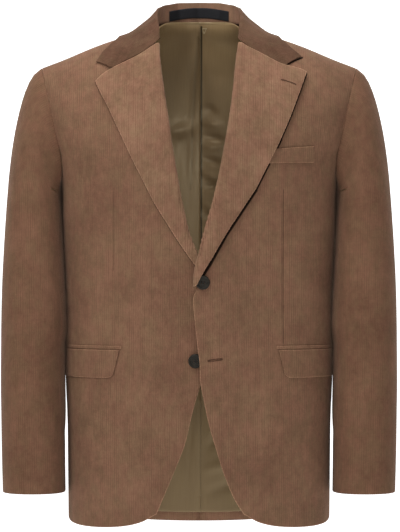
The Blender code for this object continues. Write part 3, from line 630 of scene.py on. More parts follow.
@dataclass
class Cloth:
    """One cut piece, laid on its form as a thin closed shell.

    Attributes:
        name: The new object's name.
        outline: Its outline laid out flat, anticlockwise.
        lay: From flat metres to points of the middle of the wall, and outward normals.
        making: How it is made up.
        relief: Further metres out at laid points and flat places.
    """

    name: str
    outline: Array
    lay: Lay
    making: Making
    relief: Relief | None = None

    def build(self, outer: bpy.types.Material, inner: bpy.types.Material,
              mirror: bool) -> bpy.types.Object:
        """Make the shell.

        Args:
            outer: Material of the outer face and the rim.
            inner: Material of the inner face.
            mirror: Whether the piece is made on the other side of the centre.

        Returns:
            The new object.
        """
        rim, (flat, faces), (flat_in, faces_in) = self._cut()
        count = len(rim)
        outside, edge, inward, turned = self._placed(flat, faces, flat_in, count)
        points = np.concatenate([outside, edge, inward])
        middle, under = len(outside), len(outside) + count
        n = np.arange(count)
        m = np.roll(n, -1)
        band = np.concatenate([np.stack([n + top, n + bottom, m + bottom, m + top], 1)
                               for top, bottom in ((0, middle), (middle, under))])
        faces_in = faces_in[:, ::-1] + under
        if mirror:
            points = points * np.array([-1.0, 1.0, 1.0])
        if mirror != turned:
            faces, faces_in, band = faces[:, ::-1], faces_in[:, ::-1], band[:, ::-1]
        uv = np.concatenate([flat, flat[:count], flat_in])
        gap = np.minimum(distance_to(self.outline, flat[:, 0], flat[:, 1]), AWAY_MOST)
        away = np.concatenate([gap, np.zeros(count), np.full(len(flat_in), AWAY_MOST)])
        kinds = [0] * (len(faces) + len(band)) + [1] * len(faces_in)
        all_faces = [*faces.tolist(), *band.tolist(), *faces_in.tolist()]
        made = solid(self.name, points, all_faces, (outer, inner), kinds, uv, away)
        LOG.info("%s: %d triangles", self.name, len(faces) + 2 * len(band) + len(faces_in))
        return made

    def _cut(self) -> tuple[Array, tuple[Array, Array], tuple[Array, Array]]:
        """The flat rim, then the points and triangles of the outer and the inner face."""
        make = self.making
        (left, low), (right, high) = self.outline.min(0), self.outline.max(0)
        columns = span(left, right, make.column) if make.column else CORDS.columns(left, right)
        rows = span(low, high, make.row)
        rim = Cut.resample(self.outline, columns, rows)
        cut = Cut(self.outline, rim)
        (left, low), (right, high) = rim.min(0), rim.max(0)
        inner = span(left, right, make.coarse[0]), span(low, high, make.coarse[1])
        return rim, cut.triangles(columns, rows, make.inset), cut.triangles(*inner, 0.0)

    def _placed(self, flat: Array, faces: Array, flat_in: Array,
                count: int) -> tuple[Array, Array, Array, bool]:
        """Lay the flat points on the form, as the two faces of the wall with a rounded rim.

        Args:
            flat: Flat points of the outer face, rim first.
            faces: Its triangles.
            flat_in: Flat points of the inner face, rim first.
            count: How many points the rim has.

        Returns:
            Points of the outer face, of the rim's middle and of the inner face, and whether
            the triangles face into the cloth.
        """
        make = self.making
        (points, normals, move), (points_in, normals_in, move_in) = (
            (*laid, self.relief(laid[0], *place.T) if self.relief else np.zeros(len(place)))
            for laid, place in ((self.lay(*place.T), place) for place in (flat, flat_in))
        )
        half = make.thickness / 2
        stand = np.full(len(flat), half)
        if make.column is None:
            stand = stand + CORDS.relief(flat[:, 0])
        stand[:count] -= make.roll
        outside = points + normals * (stand + move)[:, None]
        inward = points_in - normals_in * (half - move_in)[:, None]
        inward[:count] += normals_in[:count] * make.roll
        edge = points[:count] + normals[:count] * move[:count, None]
        out = np.cross(np.roll(edge, -1, axis=0) - np.roll(edge, 1, axis=0), normals[:count])
        out /= np.maximum(np.linalg.norm(out, axis=1, keepdims=True), 1e-12)
        turned = self._turned(outside, normals, faces)
        pull = out * (RIM_PULL * make.roll if turned else -RIM_PULL * make.roll)
        outside[:count] += pull
        inward[:count] += pull
        return outside, edge, inward, turned

    @staticmethod
    def _turned(points: Array, normals: Array, faces: Array) -> bool:
        """Whether anticlockwise triangles face into the cloth."""
        a, b, c = (points[faces[:, k]] for k in range(3))
        return float(np.einsum("ij,ij->i", np.cross(b - a, c - a), normals[faces[:, 0]]).sum()) < 0

    def declare(self, made: bpy.types.Object, node: str) -> bpy.types.Object:
        """Hang the piece on the root and hide the node that it replaces."""
        low, high = self.outline.min(0), self.outline.max(0)
        x, y = self.outline.T
        area = abs(float(x @ np.roll(y, -1) - y @ np.roll(x, -1))) / 2
        width, length = (max(float(value), SHEET_LEAST) for value in high - low)
        area = min(max(area, SHEET_FILL * width * length), width * length)
        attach(made, "root")
        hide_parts(node)
        return made


def linked(name: str, data: bpy.types.ID) -> bpy.types.Object:
    """A new object, linked to the scene."""
    made = bpy.data.objects.new(name, data)
    bpy.context.scene.collection.objects.link(made)
    return made


def baked(source: bpy.types.Object, *others: bpy.types.Object) -> bpy.types.Mesh:
    """The mesh that an object's modifiers make of it; the working objects go."""
    bpy.context.view_layer.update()
    settled = source.evaluated_get(bpy.context.evaluated_depsgraph_get())
    mesh = bpy.data.meshes.new_from_object(settled)
    for old in (source, *others):
        bpy.data.objects.remove(old, do_unlink=True)
    return mesh


def solid(name: str, points: Array, faces: list[list[int]],
          finishes: Sequence[bpy.types.Material], kinds: Sequence[int],
          uv: Array | None = None, away: Array | None = None) -> bpy.types.Object:
    """Make a mesh object at the origin.

    Args:
        name: The object's name.
        points: Its points.
        faces: Its faces, as lists of point numbers.
        finishes: Its materials.
        kinds: Each face's material number.
        uv: Flat metres of each point, for the map named cloth.
        away: Each point's distance from the piece's edge, for the attribute named away.

    Returns:
        The object, linked to the scene.
    """
    mesh = bpy.data.meshes.new(name)
    mesh.from_pydata(points.tolist(), [], faces)
    for finish in finishes:
        mesh.materials.append(finish)
    mesh.polygons.foreach_set("material_index", np.array(kinds, np.int32))
    if uv is not None:
        loops = np.zeros(len(mesh.loops), np.int32)
        mesh.loops.foreach_get("vertex_index", loops)
        layer = mesh.uv_layers.new(name="cloth")
        layer.data.foreach_set("uv", uv[loops].astype(np.float32).ravel())
    if away is not None:
        mark = mesh.attributes.new("away", "FLOAT", "POINT")
        mark.data.foreach_set("value", away.astype(np.float32))
    mesh.shade_smooth()
    mesh.set_sharp_from_angle(angle=math.radians(75))
    mesh.update()
    return linked(name, mesh)


# ---- outlines of the body's pieces --------------------------------------------------------------
LOW_ROWS = 0.38
CHEST_ROWS = 0.68
LOW_TOP_Z = -0.45
NECK_SHARE = 0.30
NECK_DEPTH = 0.0715
CORNER_Z = -0.700  # where a front's edge meets its hem
HEM_OUT = (0.0640, 0.1943)  # both ends of a front's hem
SEAM_CLEAR = 0.01 * MM  # keeps places just below the shoulder seam
Place = tuple[float, float]


def front_ends(side: Side, share: float) -> tuple[Place, Place]:
    """Angle and level of both ends of a front's row.

    Args:
        side: Which front.
        share: How far up the row lies, from the hem at 0 to the shoulder at 1.

    Returns:
        The end on the front edge, and the end on the side seam or armhole.
    """
    if share <= LOW_ROWS:
        part = share / LOW_ROWS
        edge_z, side_z = (between(low, LOW_TOP_Z, part) for low in (CORNER_Z, SIDE_HEM_Z))
    elif share <= CHEST_ROWS:
        climb = (CHEST_Z - LOW_TOP_Z) * (share - LOW_ROWS)
        edge_z = side_z = LOW_TOP_Z + climb / (CHEST_ROWS - LOW_ROWS)
    else:
        level = (share - CHEST_ROWS) / (1 - CHEST_ROWS) * FRONT.top
        rise = math.sin(level * math.pi / 2) ** (2.0 / FRONT.arch)
        edge_z = between(CHEST_Z, float(shoulder_z(0.06)), rise)
        side_z = between(CHEST_Z, SHOULDER_POINT_Z, rise)
        out = NECK_HALF if share == 1 else float(front_edge(side, edge_z))
        top = min(edge_z, float(shoulder_z(out)) - SEAM_CLEAR)
        return tuple((float(angle), level) for angle in
                     (FRONT.place(out, top)[0], armhole_place(FRONT, side_z)[0]))
    edge = FRONT.place(float(front_edge(side, edge_z)), edge_z)
    outer = armhole_place(FRONT, side_z) if side_z > UNDERARM_Z else (SIDE_ANGLE, side_z - CHEST_Z)
    return (float(edge[0]), float(edge[1])), (float(outer[0]), float(outer[1]))


def front_border(side: Side) -> Array:
    """A front's border, in angles and levels."""
    shares = np.linspace(0, 1, 181)
    ends = np.array([front_ends(side, share) for share in shares]).reshape(-1, 4)
    step = np.linspace(0, 1, 61)
    hem, top = (between(row[:2], row[2:], step[:, None]) for row in (ends[0], ends[-1]))
    hem[:, 1] += FRONT_HEM(between(*HEM_OUT, step)) - between(CORNER_Z, SIDE_HEM_Z, step)
    return np.concatenate([hem, ends[1:, 2:], top[-2::-1], ends[-2:0:-1, :2]])


def back_neck(s: float) -> Place:
    """Angle and level of the back's top edge: the neck's curve, then the shoulder seam."""
    if s >= NECK_SHARE:
        first = float(BACK.place(NECK_HALF, float(shoulder_z(NECK_HALF)) - SEAM_CLEAR)[0])
        last = float(armhole_place(BACK, SHOULDER_POINT_Z)[0])
        return first + (last - first) * (s - NECK_SHARE) / (1 - NECK_SHARE), BACK.top
    turn = s / NECK_SHARE * math.pi / 2
    out = NECK_HALF * math.sin(turn)
    run = NECK_DEPTH * math.cos(turn) / (float(BACK_DEPTH(SHOULDER_POINT_Z)) - SEAM_Y)
    level = math.acos(run ** (BACK.arch / 2)) * 2 / math.pi
    return float(BACK.place(out, float(shoulder_z(out)) - SEAM_CLEAR)[0]), min(level, BACK.top)


def back_border() -> Array:
    """Border of one half of the back, in angles and levels."""
    step = np.linspace(0, 1, 61)
    hem = np.stack([SIDE_ANGLE * step, between(BACK_HEM_Z, SIDE_HEM_Z, ease(step)) - CHEST_Z], -1)
    side = [(SIDE_ANGLE, z - CHEST_Z) for z in np.linspace(SIDE_HEM_Z, UNDERARM_Z, 60)[1:]]
    rise = np.linspace(UNDERARM_Z, CHEST_Z, 12)[1:]
    side += [(float(armhole_place(BACK, z)[0]), z - CHEST_Z) for z in rise]
    top_level = back_neck(1.0)[1]
    for part in np.linspace(0, 1, 50)[1:]:
        height = math.sin(part * BACK.top * math.pi / 2) ** (2.0 / BACK.arch)
        angle = float(armhole_place(BACK, between(CHEST_Z, SHOULDER_POINT_Z, height))[0])
        side.append((angle, part * top_level))
    top = [back_neck(s) for s in np.linspace(1, 0, 121)[1:]]
    centre = [(0.0, level) for level in np.linspace(top[-1][1], 0, 40)[1:]]
    centre += [(0.0, level) for level in np.linspace(0, BACK_HEM_Z - CHEST_Z, 60)[1:-1]]
    return np.concatenate([hem, np.array(side), np.array(top), np.array(centre)])


# ---- nets of the smaller pieces -----------------------------------------------------------------
ROLL_TOP_Z = -0.0100
ROLL_END_Z = {Side.UPPER: -0.369, Side.UNDER: -0.349}
LAPEL_LIFT = {Side.UPPER: 6.3 * MM, Side.UNDER: 3.5 * MM}  # the lapels' middle off the fronts'
ROLL_SHARES = (0.0, 0.1, 0.25, 0.45, 0.66, 0.83, 1.0)  # from the lapel's roll out to its edge


def lapel_net(side: Side) -> Net:
    """The facing turned out over a front: behind the edge, round the roll and out to the tip."""
    lift = LAPEL_LIFT[side]
    heights = ROLL_TOP_Z + (ROLL_END_Z[side] - ROLL_TOP_Z) * np.arange(41) / 40
    roll = np.stack([EDGE[side](heights), heights], -1)
    outer, top_row = LAPEL_EDGE[side], GORGE[side]
    rows = []
    for t in np.arange(16) / 15:
        start, end = along(roll, t), along(outer, t)
        fade = max(0.0, 1.0 - t / 0.25) ** 2
        width = float(np.linalg.norm(end - start))
        inward = (start - end) / width
        points = []
        for step in (0.014, 0.004):
            seen = start - inward * min(step, 0.6 * width + 0.002)
            points.append(front_place(side, seen[0], seen[1], -FOLD_HALF))
        full = float(window(-start[1], 0.32, 0.345)) if side.upper else 0.0
        points.append(front_place(side, start[0], start[1], 0.3 * lift * full))
        for share in ROLL_SHARES:
            seen = between(start, end, share)
            if fade > 0:
                index = share * (len(top_row) - 1)
                low = min(int(index), len(top_row) - 2)
                top = between(top_row[low], top_row[low + 1], index - low)
                seen = seen + (top - between(roll[0], outer[0], share)) * fade
            rise = float(window(share * width, 0.0, min(0.03, 0.5 * width)))
            stand = between(FOLD_HALF, lift, max(rise, 0.9 * full))
            if share == 0.0:
                seen = start - inward * min(0.0035, 0.2 * width + 0.001) * (1.0 - 0.7 * full)
            points.append(front_place(side, seen[0], seen[1], stand))
        rows.append(points)
    return Net(np.array(rows)[::-1].copy())


COLLAR = np.array([  # mm, from the centre back to the point: neck seam, fold's top, falling edge
    [(0, 75, 32.5), (0, 72, 63.7), (0, 92, 17)], [(31, 67, 32), (31, 66, 62.7), (37, 87, 15)],
    [(52, 49, 29), (51, 48, 57.5), (76, 68, 7)], [(65, 27, 25), (60.5, 25, 50.5), (104, 40, 3)],
    [(69.5, 4, 22.5), (63.5, 2, 41), (117, 6, 0)], [(67, -20, 17), (62.5, -22, 30), (124, -20, -8)],
    [(63.5, -40, 8), (60.5, -42, 16), (137, -36, -18)],
    [(59.6, -58, -4), (58.6, -62, -3.5), (152.5, -47, -31)],
]) * MM
UNDER_POINT = np.array([152.3, -50, -39.3]) * MM  # the leaf hangs lower on the wearer's right
LEAF_STEPS = (0.0, 0.08, 0.22, 0.42, 0.68, 0.85, 1.0)
LEAF_CLEAR = 3.9 * MM  # the leaf's middle off the body's form


def clear_of_body(point: Array, clearance: float) -> Array:
    """Move a point out from the body's arch until it has its clearance."""
    face = BACK if point[1] > SEAM_Y else FRONT
    x = abs(float(point[0]))
    z = min(float(point[2]), float(shoulder_z(x)))
    inward = max(0.0, 1 - (x / float(HALF_WIDTH(z))) ** face.plan)
    half = float(face.depth(z)) * inward ** (1 / face.plan) - face.sign * SEAM_Y
    run, rise = abs(float(point[1]) - SEAM_Y), float(point[2]) - CHEST_Z
    up = rise / (float(shoulder_z(x)) - CHEST_Z)
    reach = ((run / half) ** face.arch + up ** face.arch) ** (1 / face.arch)
    radius = math.hypot(run, rise)
    scale = max(1.0, (radius / reach + clearance) / radius)
    return np.array([point[0], SEAM_Y + (point[1] - SEAM_Y) * scale, CHEST_Z + rise * scale])


def collar_half(side: Side) -> Array:
    """Half of the collar, a row for each section: up the stand, over the fold and down the leaf."""
    sections = []
    for first, second in zip(COLLAR, COLLAR[1:]):
        sections += [first, (first + second) / 2]
    sections.append(COLLAR[-1].copy())
    if not side.upper:
        sections[-2][2] += (UNDER_POINT - sections[-1][2]) / 2
        sections[-1][2] = UNDER_POINT
    gorge = GORGE[side][:3]
    last = len(sections) - 1
    half = []
    for row, (seam, fold, edge) in enumerate(sections):
        away = np.array([fold[0], fold[1] - SEAM_Y, 0.0])
        bulge = unit(away) * -0.6 * MM
        leaf = [between(fold, edge, step)
                + (bulge * math.sin(math.pi * min(1.0, step * 1.6)) if 0 < step < 0.6 else 0.0)
                for step in LEAF_STEPS]
        if row >= last - 3:
            mix = float(ease((row - (last - 4)) / 4))
            for n in range(1, len(LEAF_STEPS)):
                seen = along(gorge, n / 4)
                if n > 4:
                    seen = gorge[-1] + (np.array([edge[0], edge[2]]) - gorge[-1]) * (n - 4) / 2
                x, z = float(seen[0]), float(seen[1]) - 0.5 * MM
                target = FRONT.point(*FRONT.place(x, min(z, float(shoulder_z(x)) - 0.002)))
                if row == last:
                    leaf[n] = between(leaf[n], target, mix)
                elif n < len(LEAF_STEPS) - 1:
                    leaf[n] = leaf[n] + (target - leaf[n]) * mix * 0.35
        hanging = [clear_of_body(point, LEAF_CLEAR) for point in leaf[1:]]
        half.append([seam, (seam + fold) / 2, leaf[0], *hanging])
    return np.array(half)


def collar_net() -> Net:
    """The whole collar: columns from its right point to its left one, rows over the fold."""
    other = collar_half(Side.UNDER)[:0:-1] * np.array([-1.0, 1.0, 1.0])
    return Net(np.concatenate([other, collar_half(Side.UPPER)]).transpose(1, 0, 2).copy())


SLEEVE = np.array([  # height, inner side, outer side, front face and back face of the cloth
    (-0.232, 0.2062, 0.2862, -0.074, 0.067), (-0.290, 0.2034, 0.2895, -0.080, 0.053),
    (-0.360, 0.2005, 0.2925, -0.086, 0.038), (-0.422, 0.1982, 0.2938, -0.089, 0.031),
    (-0.455, 0.2013, 0.2942, -0.088, 0.032), (-0.507, 0.2012, 0.2945, -0.090, 0.030),
    (-0.560, 0.1994, 0.2940, -0.091, 0.029), (-0.620, 0.1992, 0.2930, -0.092, 0.028),
    (-0.674, 0.1985, 0.2915, -0.093, 0.027),
])
TOP_TURNS = (-62.2, 198.2)  # degrees round the arm: 0 at its front, 90 at its outside
UNDER_TURNS = (197.8, 298.2)
TOP_COLUMNS, UNDER_COLUMNS = 66, 26
SLEEVE_PLAN = 2.25  # the squareness of the sleeve's section
SLEEVE_GAP, UNDERARM_GAP = 0.5 * MM, 2.0 * MM  # from the armhole's edge, and more under the arm
HEAD_REACH = 0.030  # how strongly the sleeve's head leaves the armhole


def armhole_point(turn: float) -> Array:
    """A point of the armhole's edge, by the angle round the sleeve."""
    turn = (turn - 270.0) % 360.0
    face = FRONT if turn <= 180.0 else BACK
    return along(ARMHOLE_TRACE[face.sign], min(turn, 360.0 - turn) / 180.0)


def armhole_trace(face: Face) -> Array:
    """The armhole's edge on one face, from the underarm to the shoulder point."""
    places = [armhole_place(face, z) for z in np.linspace(UNDERARM_Z, SHOULDER_POINT_Z, 41)[:-1]]
    places.append((face.place(SHOULDER_HALF, SHOULDER_POINT_Z)[0], face.top))
    return np.array([face.point(*place) for place in places])


ARMHOLE_TRACE = {face.sign: armhole_trace(face) for face in (FRONT, BACK)}


def ring_points(turn: float) -> Array:
    """A line down the middle of the sleeve's wall, one point for each ring."""
    angle = math.radians(turn)
    z, inner, outer, front, back = SLEEVE.T
    across, fore = (float(signed_power(np.array(part), SLEEVE_PLAN))
                    for part in (math.sin(angle), math.cos(angle)))
    x = (inner + outer) / 2 + ((outer - inner) / 2 - CLOTH / 2) * across
    return np.stack([x, (front + back) / 2 - ((back - front) / 2 - CLOTH / 2) * fore, z], -1)


def sleeve_column(turn: float) -> Array:
    """One line down the sleeve, from the armhole over the head to the cuff."""
    start = armhole_point(turn)
    outward = 0.5 + 0.5 * math.sin(math.radians(turn))
    fore = math.cos(math.radians(turn))
    start[0] += SLEEVE_GAP + (1 - outward) ** 3 * UNDERARM_GAP
    rings = ring_points(turn)
    reach = float(np.linalg.norm(rings[0] - start))
    head = np.array([0.92, -0.25 * fore, 0.10 - 0.42 * outward])
    leave = np.array([0.12, 0.0, -1.0])
    mix = float(window(outward, 0.02, 0.35))
    launch = unit(leave) * (1 - mix) + unit(head) * mix
    launch *= min(HEAD_REACH, 0.5 * reach + 0.004) * (0.4 + 0.6 * mix) / np.linalg.norm(launch)
    settle = unit(rings[0] - rings[1])
    t = (np.arange(8) / 8)[:, None]
    curve = (start * (1 - t) ** 3 + (start + launch) * 3 * t * (1 - t) ** 2
             + (rings[0] + settle * 0.45 * reach) * 3 * t * t * (1 - t) + rings[0] * t ** 3)
    return np.concatenate([curve, rings])


def sleeve_net(turns: tuple[float, float], count: int) -> Net:
    """A sleeve piece, rows from the cuff up to the armhole, columns by the angle round the arm."""
    columns = [sleeve_column(turn)[::-1] for turn in np.linspace(*turns, count)]
    return Net(np.array(columns).transpose(1, 0, 2).copy())


@dataclass(frozen=True)
class Strip:
    """A strip of cloth round the hip.

    Attributes:
        out: Distance out of its inner end, at its top.
        length: Metres along it.
        top_z: Height of its top.
        bottom_z: Height of its bottom.
        slant: How far the inner end moves out towards the bottom.
        corner: Radius of the inner lower corner.
        stand_top: Middle of its wall above the front's middle, at its top.
        stand_bottom: The same at its bottom.
    """

    out: float
    length: float
    top_z: float
    bottom_z: float
    slant: float
    corner: float
    stand_top: float
    stand_bottom: float

    def end(self) -> float:
        """Angle of the outer end."""
        z = (self.top_z + self.bottom_z) / 2
        angle = float(FRONT.place(self.out, z)[0])
        turns = np.arange(angle, math.pi / 2, 0.004)
        points = FRONT.point(turns, z - CHEST_Z)
        walked = running(np.linalg.norm(np.diff(points, axis=0), axis=1))
        return float(turns[min(np.searchsorted(walked, self.length), len(turns) - 1)])

    def net(self, side: Side, rows: int) -> tuple[Net, Array, Array]:
        """The strip's net, with the angle and level of each of its points."""
        v = (np.arange(rows + 1) / rows)[:, None]
        turn = self.corner / self.length
        s = np.concatenate([np.linspace(0, turn, 7)[:-1] if turn else [], np.linspace(turn, 1, 13)])
        start = FRONT.place(self.out + self.slant * (1 - v), self.top_z)[0]
        angle = between(start, self.end(), s)
        run = np.minimum(s * self.length, self.corner)
        drop = np.sqrt(np.maximum(0, self.corner ** 2 - (self.corner - run) ** 2))
        low = self.bottom_z + self.corner - drop
        level = between(low, self.top_z, v) - CHEST_Z
        stand = between(self.stand_bottom, self.stand_top, v)
        base = FRONT.point(angle, level)
        points = FRONT.off(angle, level, stand + lap_stand(side, base[..., 0], base[..., 2]))
        return Net(points), angle, level


FLAP = Strip(0.1155, 0.150, -0.4615, -0.5025, 0.0075, 0.012, CLOTH + 0.5 * MM, CLOTH + 1.0 * MM)
JET = Strip(0.1130, 0.154, -0.4555, -0.4600, 0.0, 0.0, CLOTH / 2 + 1.0 * MM, CLOTH / 2 + 1.0 * MM)


WELT_OUT = (0.094, 0.1678)  # both ends of the welt, with the heights of its edges there
WELT_LOW, WELT_HIGH = (-0.1895, -0.1872), (-0.1695, -0.1630)


def welt_net() -> tuple[Net, Array, Array]:
    """The breast pocket's welt."""
    s, v = np.linspace(0, 1, 9), np.array([[0.0], [0.5], [1.0]])
    out = between(*WELT_OUT, s) + 0 * v
    z = between(between(*WELT_LOW, s), between(*WELT_HIGH, s), v)
    angle, level = FRONT.place(out, z)
    return Net(front_place(Side.UPPER, out, z, CLOTH / 2 + 1.6 * MM)), angle, level


LINING_EVEN = 14.0  # degrees from the centre to where the lining's columns widen
LINING_SIDE, LINING_HIGH_SIDE = 84.0, 62.0  # and to its side, below and above the underarm


def lining_net(over: bool) -> Net:
    """Half of the back's lining; the half that laps over makes the pleat's fold."""
    stand, under = -(CLOTH / 2 + 3.7 * MM), -(CLOTH / 2 + 1.4 * MM)
    if over:
        near = [(-0.22, stand), (1.5, stand), (6.0, stand)]
    else:
        near = [(-1.35, under), (0.6, under), (2.5, 0.5 * (under + stand)), (6.0, stand)]
    columns = near + [(LINING_EVEN + (LINING_SIDE - LINING_EVEN) * n / 7, stand) for n in range(8)]
    rows = []
    for share in np.arange(17) / 16:
        points = []
        for turn, depth in columns:
            s = turn / LINING_SIDE
            top_angle, top_level = back_neck(s)
            rise = max(0.0, (share - CHEST_ROWS) / (1 - CHEST_ROWS))
            level = rise * top_level * 0.985
            if rise == 0:
                low = between(BACK_HEM_Z, SIDE_HEM_Z, float(ease(abs(s)))) + 0.014
                level = (low - CHEST_Z) * (1 - share / CHEST_ROWS)
            high = float(window(level, -0.06, 0.03))
            wide = between(LINING_SIDE, LINING_HIGH_SIDE, high) - LINING_EVEN
            past = max(0.0, turn - LINING_EVEN)
            angle = math.radians(min(turn, LINING_EVEN) + past * wide / (LINING_SIDE - LINING_EVEN))
            angle += (top_angle - angle) * float(ease(rise))
            points.append(BACK.off(angle, level, depth - 1.2 * MM * float(window(rise, 0.4, 0.66))))
        rows.append(points)
    last = zip(rows[-2], rows[-1], columns)
    rows.append([lining_neck(below, point, column[1]) for below, point, column in last])
    return Net(np.array(rows))


def lining_neck(below: Array, point: Array, depth: float) -> Array:
    """A point of the lining's neck edge, on the collar's stand or under the shoulder."""
    if abs(point[0]) > 0.060:
        return point + unit(point - below) * 0.6 * MM - np.array([0.0, 0.9, 0.0]) * MM
    inward = 1.9 * MM + (-depth - CLOTH / 2 - 1.4 * MM) * 0.85
    seam_z = float(np.interp(abs(point[0]), COLLAR[:5, 0, 0], COLLAR[:5, 0, 2]))
    return stand_point(float(point[0]), seam_z + 0.6 * MM, inward)


def stand_point(x: float, z: float, inward: float) -> Array:
    """A point on the inside of the collar's stand."""
    index = min(int(np.searchsorted(COLLAR[:, 0, 0], abs(x), side="left")), len(COLLAR) - 1)
    first, second = COLLAR[max(index - 1, 0)], COLLAR[max(index, 1)]
    share = (abs(x) - first[0, 0]) / (second[0, 0] - first[0, 0])
    seam, fold = between(first[:2], second[:2], share)
    run = second[0] - first[0]
    normal = np.array([-math.copysign(1, x) * run[1], run[0], 0.0])
    point = seam + (fold - seam) * (z - seam[2]) / (fold[2] - seam[2])
    return np.array([x, point[1], z]) - unit(normal) * inward


LABEL_HALF, LABEL_SAG = 46.5 * MM, 7.0 * MM
LABEL_HEIGHTS = (0.0392, 0.0470, 0.0548)


def label_net() -> Net:
    """A bare woven label on the inside of the collar's stand."""
    places, inward = (LABEL_HALF * np.arange(-6, 7) / 6).tolist(), LAPEL_WALL / 2 + 1.1 * MM
    return Net(np.array([
        [stand_point(x, z - LABEL_SAG * (x / LABEL_HALF) ** 2, inward) for x in places]
        for z in LABEL_HEIGHTS
    ]))


# ---- forms: a surface with its straight grain ---------------------------------------------------
@dataclass
class Form:
    """A surface that cloth is laid on, with its straight grain."""

    point: Callable[[Array, Array], Array]
    normal: Callable[[Array, Array], Array]
    grain: Grain

    def lay(self, u: Array, v: Array) -> tuple[Array, Array]:
        """Points and normals of flat places."""
        column, row = self.grain.shape(u, v)
        return self.point(column, row), self.normal(column, row)

    def flatten(self, border: Array) -> Array:
        """A border in the surface's coordinates, laid out flat."""
        return np.stack(self.grain.flat(border[:, 0], border[:, 1]), -1)


def face_form(face: Face, side: Side | None = None) -> Form:
    """The form of the back, or of one of the fronts with its lap."""
    def point(angle: Array, level: Array) -> Array:
        """Points of the middle of the wall, the last of them right on the side seam."""
        angle = np.where(np.asarray(angle) > math.pi / 2 - SEAM_REACH, math.pi / 2, angle)
        base = face.point(angle, level)
        return face.off(angle, level, lap_stand(side, base[..., 0], base[..., 2])) if side else base

    return Form(point, face.normal, GRAINS[face.sign])


def net_form(net: Net, line: float, weights: Sequence[float] = (1.0, 1.0, 1.0),
             row: float | None = None) -> Form:
    """The form of a net whose cords run along its columns.

    Args:
        net: The net.
        line: Column number of the grain line.
        weights: How much of each axis counts in the lengths across.
        row: The row whose lengths serve for every row, or None.

    Returns:
        The form.
    """
    across, up, points = net.sampled(6)
    heights = running(np.linalg.norm(np.diff(points, axis=0), axis=2).mean(axis=1))
    grain = Grain.measure(net.point, across, up, line, heights, weights)
    if row is not None:
        lengths = grain.lengths[int(np.argmin(np.abs(up - row)))]
        grain = Grain(across, up, np.tile(lengths, (len(up), 1)), heights)
    return Form(net.point, net.normal, grain)


def upright_form(net: Net) -> Form:
    """The form of a lapel: its cords look upright in front and follow the cloth behind the roll."""
    across, up, points = net.sampled(8)
    arcs = running(np.linalg.norm(np.diff(points[..., :2], axis=1), axis=2))
    lengths = np.empty_like(arcs)
    for n, (arc, x) in enumerate(zip(arcs, points[..., 0])):
        lengths[n] = x[-1] + arc - arc[-1] + 1e-7 * np.arange(len(x))
    heights = points[..., 2].mean(axis=1)
    return Form(net.point, net.normal, Grain(across, up, lengths, np.maximum.accumulate(heights)))


def matched_form(net: Net, angle: Array, level: Array) -> Form:
    """The form of a strip on a front, whose cords match the front's."""
    lengths = GRAINS[FRONT.sign].flat(angle, level)[0]
    rows, columns = net.points.shape[:2]
    heights = net.points[..., 2].mean(axis=1)
    grain = Grain(np.arange(float(columns)), np.arange(float(rows)), lengths, heights)
    return Form(net.point, net.normal, grain)


def net_border(net: Net) -> Array:
    """A net's border, in column and row numbers."""
    rows, columns = net.points.shape[:2]
    c, r = (np.linspace(0, count - 1, (count - 1) * 6 + 1) for count in (columns, rows))
    return np.concatenate([
        np.stack([c, 0 * c], -1), np.stack([0 * r + columns - 1, r], -1)[1:],
        np.stack([c, 0 * c + rows - 1], -1)[-2::-1], np.stack([0 * r, r], -1)[-2:0:-1]])


GRAINS = {face.sign: body_grain(face) for face in (FRONT, BACK)}


def seen_creases(*creases: Crease) -> Relief:
    """Creases placed as seen from the front or back: distance out and height."""
    return lambda points, u, v: sum(crease.relief(points[:, 0], points[:, 2]) for crease in creases)


def flat_creases(*creases: Crease) -> Relief:
    """Creases placed on the cloth laid out flat."""
    return lambda points, u, v: sum(crease.relief(u, v) for crease in creases)


# ---- materials ----------------------------------------------------------------------------------
Colour = tuple[float, float, float]
Socket = bpy.types.NodeSocket
Given = Socket | float | Sequence[float]
BLACK, WHITE = (0.0, 0.0, 0.0), (1.0, 1.0, 1.0)


